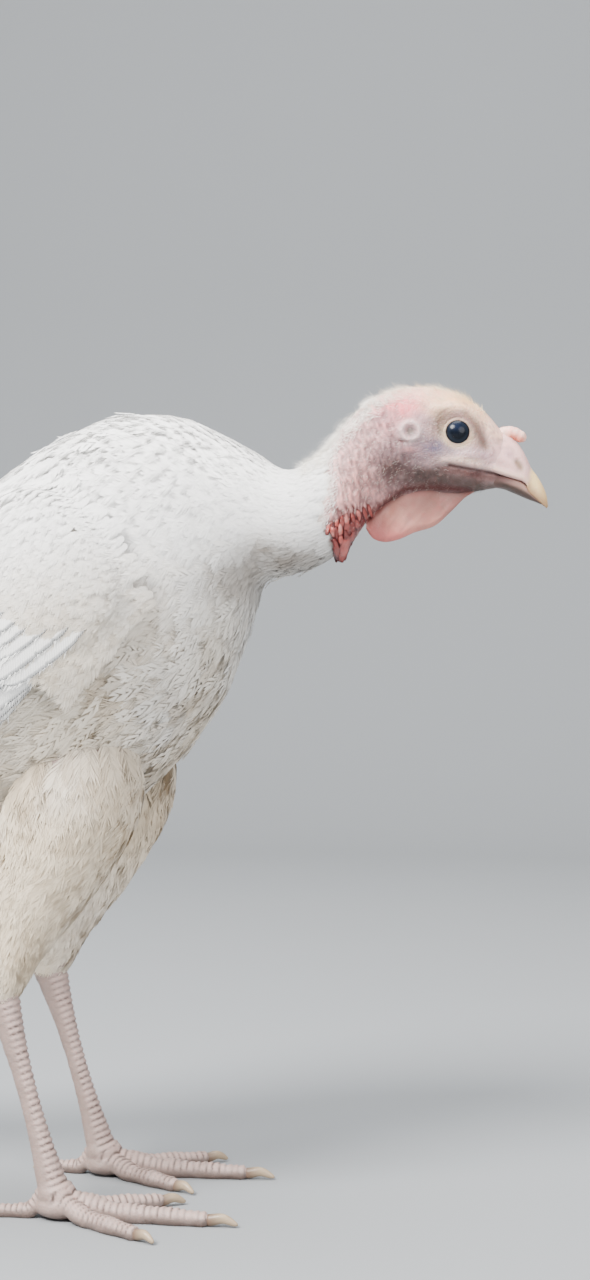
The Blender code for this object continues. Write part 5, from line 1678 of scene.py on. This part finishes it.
def wing_row_vanes(row, seed, fray):
    """One row of wing feathers, each lying over its neighbour on the belly side."""
    low_root, high_root, low_tip, high_tip, count, half, out = row
    rng = np.random.default_rng(seed)
    share = np.linspace(0, 1, count)[:, None]
    root = np.array(low_root) * (1 - share) + np.array(high_root) * share
    tip = np.array(low_tip) * (1 - share) + np.array(high_tip) * share
    tip[:, 0] += 4.0 * np.sin(share[:, 0] * math.pi) + rng.normal(0, 2.2, count)
    tip[:, 1] += rng.normal(0, 0.5, count)
    s = np.linspace(0, 1, VANE_ROWS)[None, :]
    gap_root = abs(high_root[1] - low_root[1]) / (count - 1)
    gap_tip = abs(high_tip[1] - low_tip[1]) / (count - 1)
    steep = OVERLAP / (gap_root + (gap_tip - gap_root) * s) * np.ones((count, 1))
    level = out * np.interp(s * (tip[:, :1] - root[:, :1]), (0.0, 16.0), (0.62, 1.0))
    halves = half * rng.uniform(0.94, 1.06, count)
    bow = rng.uniform(0.6, 2.0, count)
    return vanes(on_wing, root, tip, halves, level, (-steep, steep), seed, fray=fray, bow=bow), root


def covert_places(rng):
    """Places of the small feathers over the wing's core, fewer towards its outline."""
    a, c = jittered(rng, (-24.0, 36.0, 2.5), (-46.0, 40.0, 3.1), (1.1, 1.3))
    r = np.hypot((c + 2.5) / 34.0, np.minimum(a - 8.0, 0.0) / 18.5)
    limit = rng.uniform(1.35, 1.70, len(a))
    stay = r < limit - (limit - 1.20) * smooth(16.0, 22.0, c) * smooth(-8.0, 6.0, a)
    return a[stay], c[stay]


def mantle_places(rng):
    """Places of the mantle, the back feathers that lie over the folded wing's upper edge."""
    a, c = jittered(rng, (-14.0, 116.0, 4.2), (-55.0, -28.0, 3.2), (2.2, 1.8))
    share = smooth(122.0, 66.0, a + 1.4 * np.maximum(c + 44.0, 0.0)) * smooth(-27.0, -34.0, c)
    lies = wing_top(a, c)
    inside = flank_level(lies[:, 0], lies[:, 2] + 12.0) > 9.0
    stay = (rng.random(len(a)) < share) & inside
    return a[stay], c[stay]


def wing_plumes(name, places, long, wide, turn, lift, soft, barbs, rng, seed, sign):
    """Small feathers on the folded wing."""

    def unwrap(a, c):
        return inset((a + 20) / 150.0, (c + 64) / 120.0)

    paint, size = plume_colour(wing_top(*places), rng), (long, long * wide)
    plume(name, wing_top, places, 1.0, size, turn, lift, soft, barbs, paint, seed, unwrap, mirror=sign)


def core_rings(table, surface, along, around, thinner):
    """Rings of the skin over a core, a little inside it: ellipses on the sheet it lies on."""
    core = np.array(table, float)
    row = curve(core[:, 1:], core[:, 0], along)
    angle = np.arange(around) * TAU / around
    middle, wide, out, tall = (row[:, i : i + 1] for i in range(4))
    across = middle + (wide - thinner[0]) * np.cos(angle)
    return surface(along[:, None], across, out + (tall - thinner[1]) * np.sin(angle))


def wings():
    """Both folded wings: long feathers in rows, a core of skin, small coverts and the mantle."""
    frays = {"primaries": 1.0, "secondaries": 0.8, "greater_coverts": 0.5, "median_coverts": 0.5}
    for name, sign in SIDES.items():
        seed = 40 if sign > 0 else 60
        rows = enumerate(WING_ROWS.items())
        blocks = [wing_row_vanes(row, seed + i, frays[kind]) for i, (kind, row) in rows]
        extent = (-12.0, -50.0), (210.0, 50.0)
        vane_piece("wing_feathers_" + name, blocks, sign, ("wing_" + name,), seed, extent)
        rings = core_rings(WING_CORE, on_wing, np.linspace(-6, 50, 30), 48, (4.0, 1.6))
        closed_piece("wing_skin_" + name, rings * (1, sign, 1), UNDERCOAT, "skin")
        rng = np.random.default_rng(seed + 9)
        a, c = covert_places(rng)
        long = np.interp(a, (-12, 10, 36), (8, 12, 16)) * rng.uniform(0.88, 1.12, len(a))
        turn = rng.normal(0, 0.06, len(a)) - 0.010 * c * smooth(16.0, -10.0, a)
        lift = -1.2, 0.7
        wing_plumes("coat_wing_" + name, (a, c), long, 0.62, turn, lift, 0.12, 18, rng, seed + 10, sign)
        a, c = mantle_places(rng)
        long = np.interp(a, (-14, 20, 110), (15, 22, 27)) * rng.uniform(0.85, 1.15, len(a))
        turn = rng.normal(0, 0.08, len(a)) + 0.07
        lift = -0.2, 1.3
        wing_plumes("coat_mantle_" + name, (a, c), long, 0.50, turn, lift, 0.15, 24, rng, seed + 11, sign)


def tail_row_vanes(row, seed, fray, square):
    """One fan of tail feathers, the middle one on top and the rest under their neighbours."""
    count, spacing, fan, start, length, half, out = row
    rng = np.random.default_rng(seed)
    step = np.arange(count) - (count - 1) // 2
    turn = math.radians(fan) / (count - 1)
    root = np.stack([np.full(count, float(start)), step * spacing], 1)
    reach = length * (1 - 0.05 * (step / count * 2) ** 2) * np.cos(step * turn) + rng.normal(0, 1.2, count)
    tip = np.stack([start + reach, step * spacing + reach * np.tan(step * turn)], 1)
    s = np.linspace(0, 1, VANE_ROWS)[None, :]
    steep = OVERLAP / (spacing + (tip[:, :1] - start) * s * math.tan(turn))
    left, right = np.where(step[:, None] > 0, -steep, steep), np.where(step[:, None] < 0, -steep, steep)
    halves = half * rng.uniform(0.94, 1.06, count)
    level = np.full((count, VANE_ROWS), float(out)) * np.interp(s, (0, 0.15), (0.4, 1.0))
    return vanes(on_tail, root, tip, halves, level, (left, right), seed, square=square, fray=fray), root


def tail():
    """The tail: the fan, the coverts over and under its root, and the small core inside."""
    looks = {"tail_feathers": (1.0, 1.0), "upper_coverts": (0.7, 0.2), "under_coverts": (1.0, 0.2)}
    blocks = [tail_row_vanes(row, 80 + i, *looks[kind]) for i, (kind, row) in enumerate(TAIL_ROWS.items())]
    vane_piece("tail_fan", blocks, 1.0, ("tail",), 80, ((-6.0, -70.0), (130.0, 70.0)))
    core = [(along, 0.0, wide, 0.6, tall) for along, wide, tall in TAIL_CORE]
    rings = core_rings(core, on_tail, np.linspace(-4, 27, 20), 40, (1.5, 1.5))
    closed_piece("tail_skin", rings, UNDERCOAT, "skin")
    rng = np.random.default_rng(88)
    rows = np.arange(-14.0, 26.0, 3.4)
    u, v = staggered(tail_root, rows, np.full(len(rows), 4.6), rng, ring=36)
    long = np.interp(u, (-14, 26), (18, 26)) * rng.uniform(0.88, 1.14, len(u))
    turn = rng.normal(0, 0.08, len(u))
    paint, unwrap = plume_colour(tail_root(u, v), rng), map_round(80.0, before=20.0)
    size, lift = (long, long * 0.5), (-0.6, 1.2)
    plume("coat_tail", tail_root, (u, v), 1.0, size, turn, lift, 0.3, 20, paint, 89, unwrap)


def hairs(name, u, v, long, stand, thick, paint, seed):
    """Single fine hairs on the head: a thin blade that rises from the skin and bends back."""
    rng = np.random.default_rng(seed)
    here, back = trunk(u, v), trunk(u - 0.5, v)
    out = trunk(u, v, 1.0) - here
    lie = (back - here) / np.linalg.norm(back - here, axis=1, keepdims=True)
    lie = lie + rng.normal(0, 0.35, lie.shape)
    lie /= np.linalg.norm(lie, axis=1, keepdims=True)
    across = np.cross(lie, out)
    across /= np.linalg.norm(across, axis=1, keepdims=True)
    long, stand = long[:, None], stand[:, None]
    middle = here + long * (0.45 * lie + 0.55 * stand * out)
    tip = here + long * (lie + 0.8 * stand * out)
    side = across * thick / 2
    points = np.stack([here - side, here + side, middle - 0.7 * side, middle + 0.7 * side, tip], axis=1)
    faces = (np.arange(len(u))[:, None, None] * 5 + BLADE).reshape(-1, 3)
    patch = np.array([[-1, 0], [-1, 1], [0, 0], [0, 1], [1, 0]]) * PATCH / 2
    uv = np.repeat(map_round(ALONG[-1])(u, v), 5, axis=0) + np.tile(patch, (len(u), 1))
    flat, colour = turned(points.reshape(-1, 3)), np.repeat(paint, 5, axis=0)
    piece(name, flat, faces, PLUMAGE, "feathers", paint=colour, maps={"OFBake": uv})


def head_hair():
    """Down on crown and nape and along the border, short hair on the neck, bristles on the throat."""
    rng = np.random.default_rng(5)
    count = 30000
    u = rng.uniform(AT["neck_mid"] - 6, AT["lore"], count)
    v = math.pi / 2 + rng.uniform(-1.15, 1.15, count)
    thin = np.interp(u, (AT["neck_mid"], AT["nape"], AT["temple"], AT["lore"]), (1.0, 0.9, 0.75, 0.35))
    keep = rng.random(count) < thin * smooth(1.00, 0.42, np.abs(v - math.pi / 2))
    u, v = u[keep], v[keep]
    long = np.interp(u, (AT["neck_mid"], AT["nape"], AT["lore"]), (3.4, 3.1, 2.2))
    long = long * rng.uniform(0.6, 1.2, len(u))
    long = long * (0.45 + 1.15 * smooth(0.25, 0.85, noise(trunk(u, v), 3.4)))
    tone = np.interp(u, (AT["nape"], AT["eye"]), (0, 1))
    paint = tint(plain((250, 246, 238), u), ((250, 230, 190), tone))
    hairs("crown_down", u, v, long, rng.uniform(0.25, 0.8, len(u)), 0.12, paint, 6)
    count = 5200
    u = rng.uniform(AT["neck_mid"] - 4, AT["temple"], count)
    v = rng.uniform(0, TAU, count)
    keep = rng.random(count) < smooth(0.2, -0.6, np.sin(v) - 0.6) * 0.55
    u, v = u[keep], v[keep]
    long, stand = rng.uniform(0.9, 2.0, len(u)), rng.uniform(0.3, 0.8, len(u))
    hairs("neck_hair", u, v, long, stand, 0.10, plain((226, 210, 198), u), 7)
    count = 14000
    u = rng.uniform(AT["neck_mid"] - 8.0, AT["neck_high"] + 2.0, count)
    v = rng.uniform(0, TAU, count)
    spot = trunk(u, v)
    past = spot[:, 0] - np.interp(spot[:, 2], BORDER[1], BORDER[0])
    keep = (past > -2.0) & (rng.random(count) < smooth(4.2, -0.8, past)) & (spot[:, 2] > 299.0)
    u, v = u[keep], v[keep]
    long, stand = rng.uniform(1.4, 3.0, len(u)), rng.uniform(0.2, 0.55, len(u))
    hairs("border_down", u, v, long, stand, 0.15, plain((248, 243, 238), u), 9)
    count = 2600
    u = rng.uniform(AT["nape"] - 6, AT["lore"], count)
    v = -math.pi / 2 + rng.normal(0, 0.62, count)
    paint = linear((70, 52, 46)) * rng.uniform(0.7, 1.6, (count, 1))
    long, stand = rng.uniform(0.6, 1.4, count), rng.uniform(0.4, 0.9, count)
    hairs("throat_bristles", u, v, long, stand, 0.11, paint, 8)


# Stage, light and camera.
def stage():
    """A pale floor that sweeps up behind: a straight run, a quarter circle and a wall."""
    bend = np.linspace(0, math.pi / 2, 24)
    run = np.concatenate([[-3.0], 1.6 + 0.8 * np.sin(bend), [2.4]])
    rise = np.concatenate([[0.0], 0.8 * (1 - np.cos(bend)), [4.0]])
    points = joined(np.array([-4.0, 4.0]), run[:, None], rise[:, None])
    mesh = bpy.data.meshes.new("floor")
    mesh.from_pydata(points.reshape(-1, 3).tolist(), [], grid_faces(len(run), 2, closed=False).tolist())
    mesh.polygons.foreach_set("use_smooth", np.ones(len(mesh.polygons), bool))
    mesh.materials.append(finish("pale floor", 0.85, (6.0, 0.03), colour=(143, 146, 149)))
    floor = linked("floor", mesh)
    floor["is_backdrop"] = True


def area_light(name, place, aim, size, power, colour):
    """A round soft light that shines at a place."""
    data = bpy.data.lights.new(name, "AREA")
    data.shape, data.size, data.energy, data.color = "DISK", size, power, colour
    made = linked(name, data)
    made.location = place
    look_at(made, aim)


def look_at(obj, aim):
    """Turns an object so that its -Z points at a place, with +Y up."""
    heading = np.subtract(aim, obj.location)
    heading = heading / np.linalg.norm(heading)
    yaw = math.atan2(-heading[0], heading[1])
    obj.rotation_euler = (math.pi / 2 + math.asin(heading[2]), 0.0, yaw)


CAMERA_AZIMUTH, CAMERA_AWAY = 10.0, 1.0
FRAME_TALL, CAMERA_ACROSS, CAMERA_UP = 576.0, 84.8, 250.4
SENSOR_MM = 36.0


def lights_and_camera():
    """Three soft lights, a pale sky, and a level camera that sees the bird's right side."""
    aim = (0.02, 0.0, 0.24)
    area_light("window", (-0.9, -1.5, 1.9), aim, 1.1, 182.0, (1.0, 0.985, 0.96))
    area_light("fill", (1.6, -1.6, 1.0), aim, 1.8, 46.0, (0.98, 0.985, 1.0))
    area_light("sky", (0.0, 0.1, 2.4), aim, 1.8, 84.0, (1.0, 1.0, 1.0))
    world = bpy.data.worlds.new("studio")
    world.use_nodes = True
    sky = world.node_tree.nodes["Background"].inputs
    sky["Color"].default_value = (0.97, 0.98, 1.0, 1.0)
    sky["Strength"].default_value = 0.56
    bpy.context.scene.world = world
    azimuth = math.radians(CAMERA_AZIMUTH)
    right = np.array((math.cos(azimuth), math.sin(azimuth)))
    x, y = right * CAMERA_ACROSS * MM + (AHEAD * MM, 0.0)
    data = bpy.data.cameras.new("camera")
    data.sensor_fit, data.sensor_height = "VERTICAL", SENSOR_MM
    data.lens = SENSOR_MM * CAMERA_AWAY / (FRAME_TALL * MM)
    camera = linked("camera", data)
    away = CAMERA_AWAY * math.sin(azimuth), CAMERA_AWAY * math.cos(azimuth)
    camera.location = (x + away[0], y - away[1], CAMERA_UP * MM)
    camera.rotation_euler = (math.pi / 2, 0.0, azimuth)
    bpy.context.scene.camera = camera


lights_and_camera()
stage()
skin()
lids()
eyes()
bill()
snood()
wattle()
caruncles()
for side_name, side_sign in SIDES.items():
    leg(side_name, side_sign)
claws()
trunk_coat()
thigh_coat()
wings()
tail()
head_hair()

boxes = {"cad": CAD_BOX, "visual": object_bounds()}
{key: [[float(v) for v in corner] for corner in box] for key, box in boxes.items()}
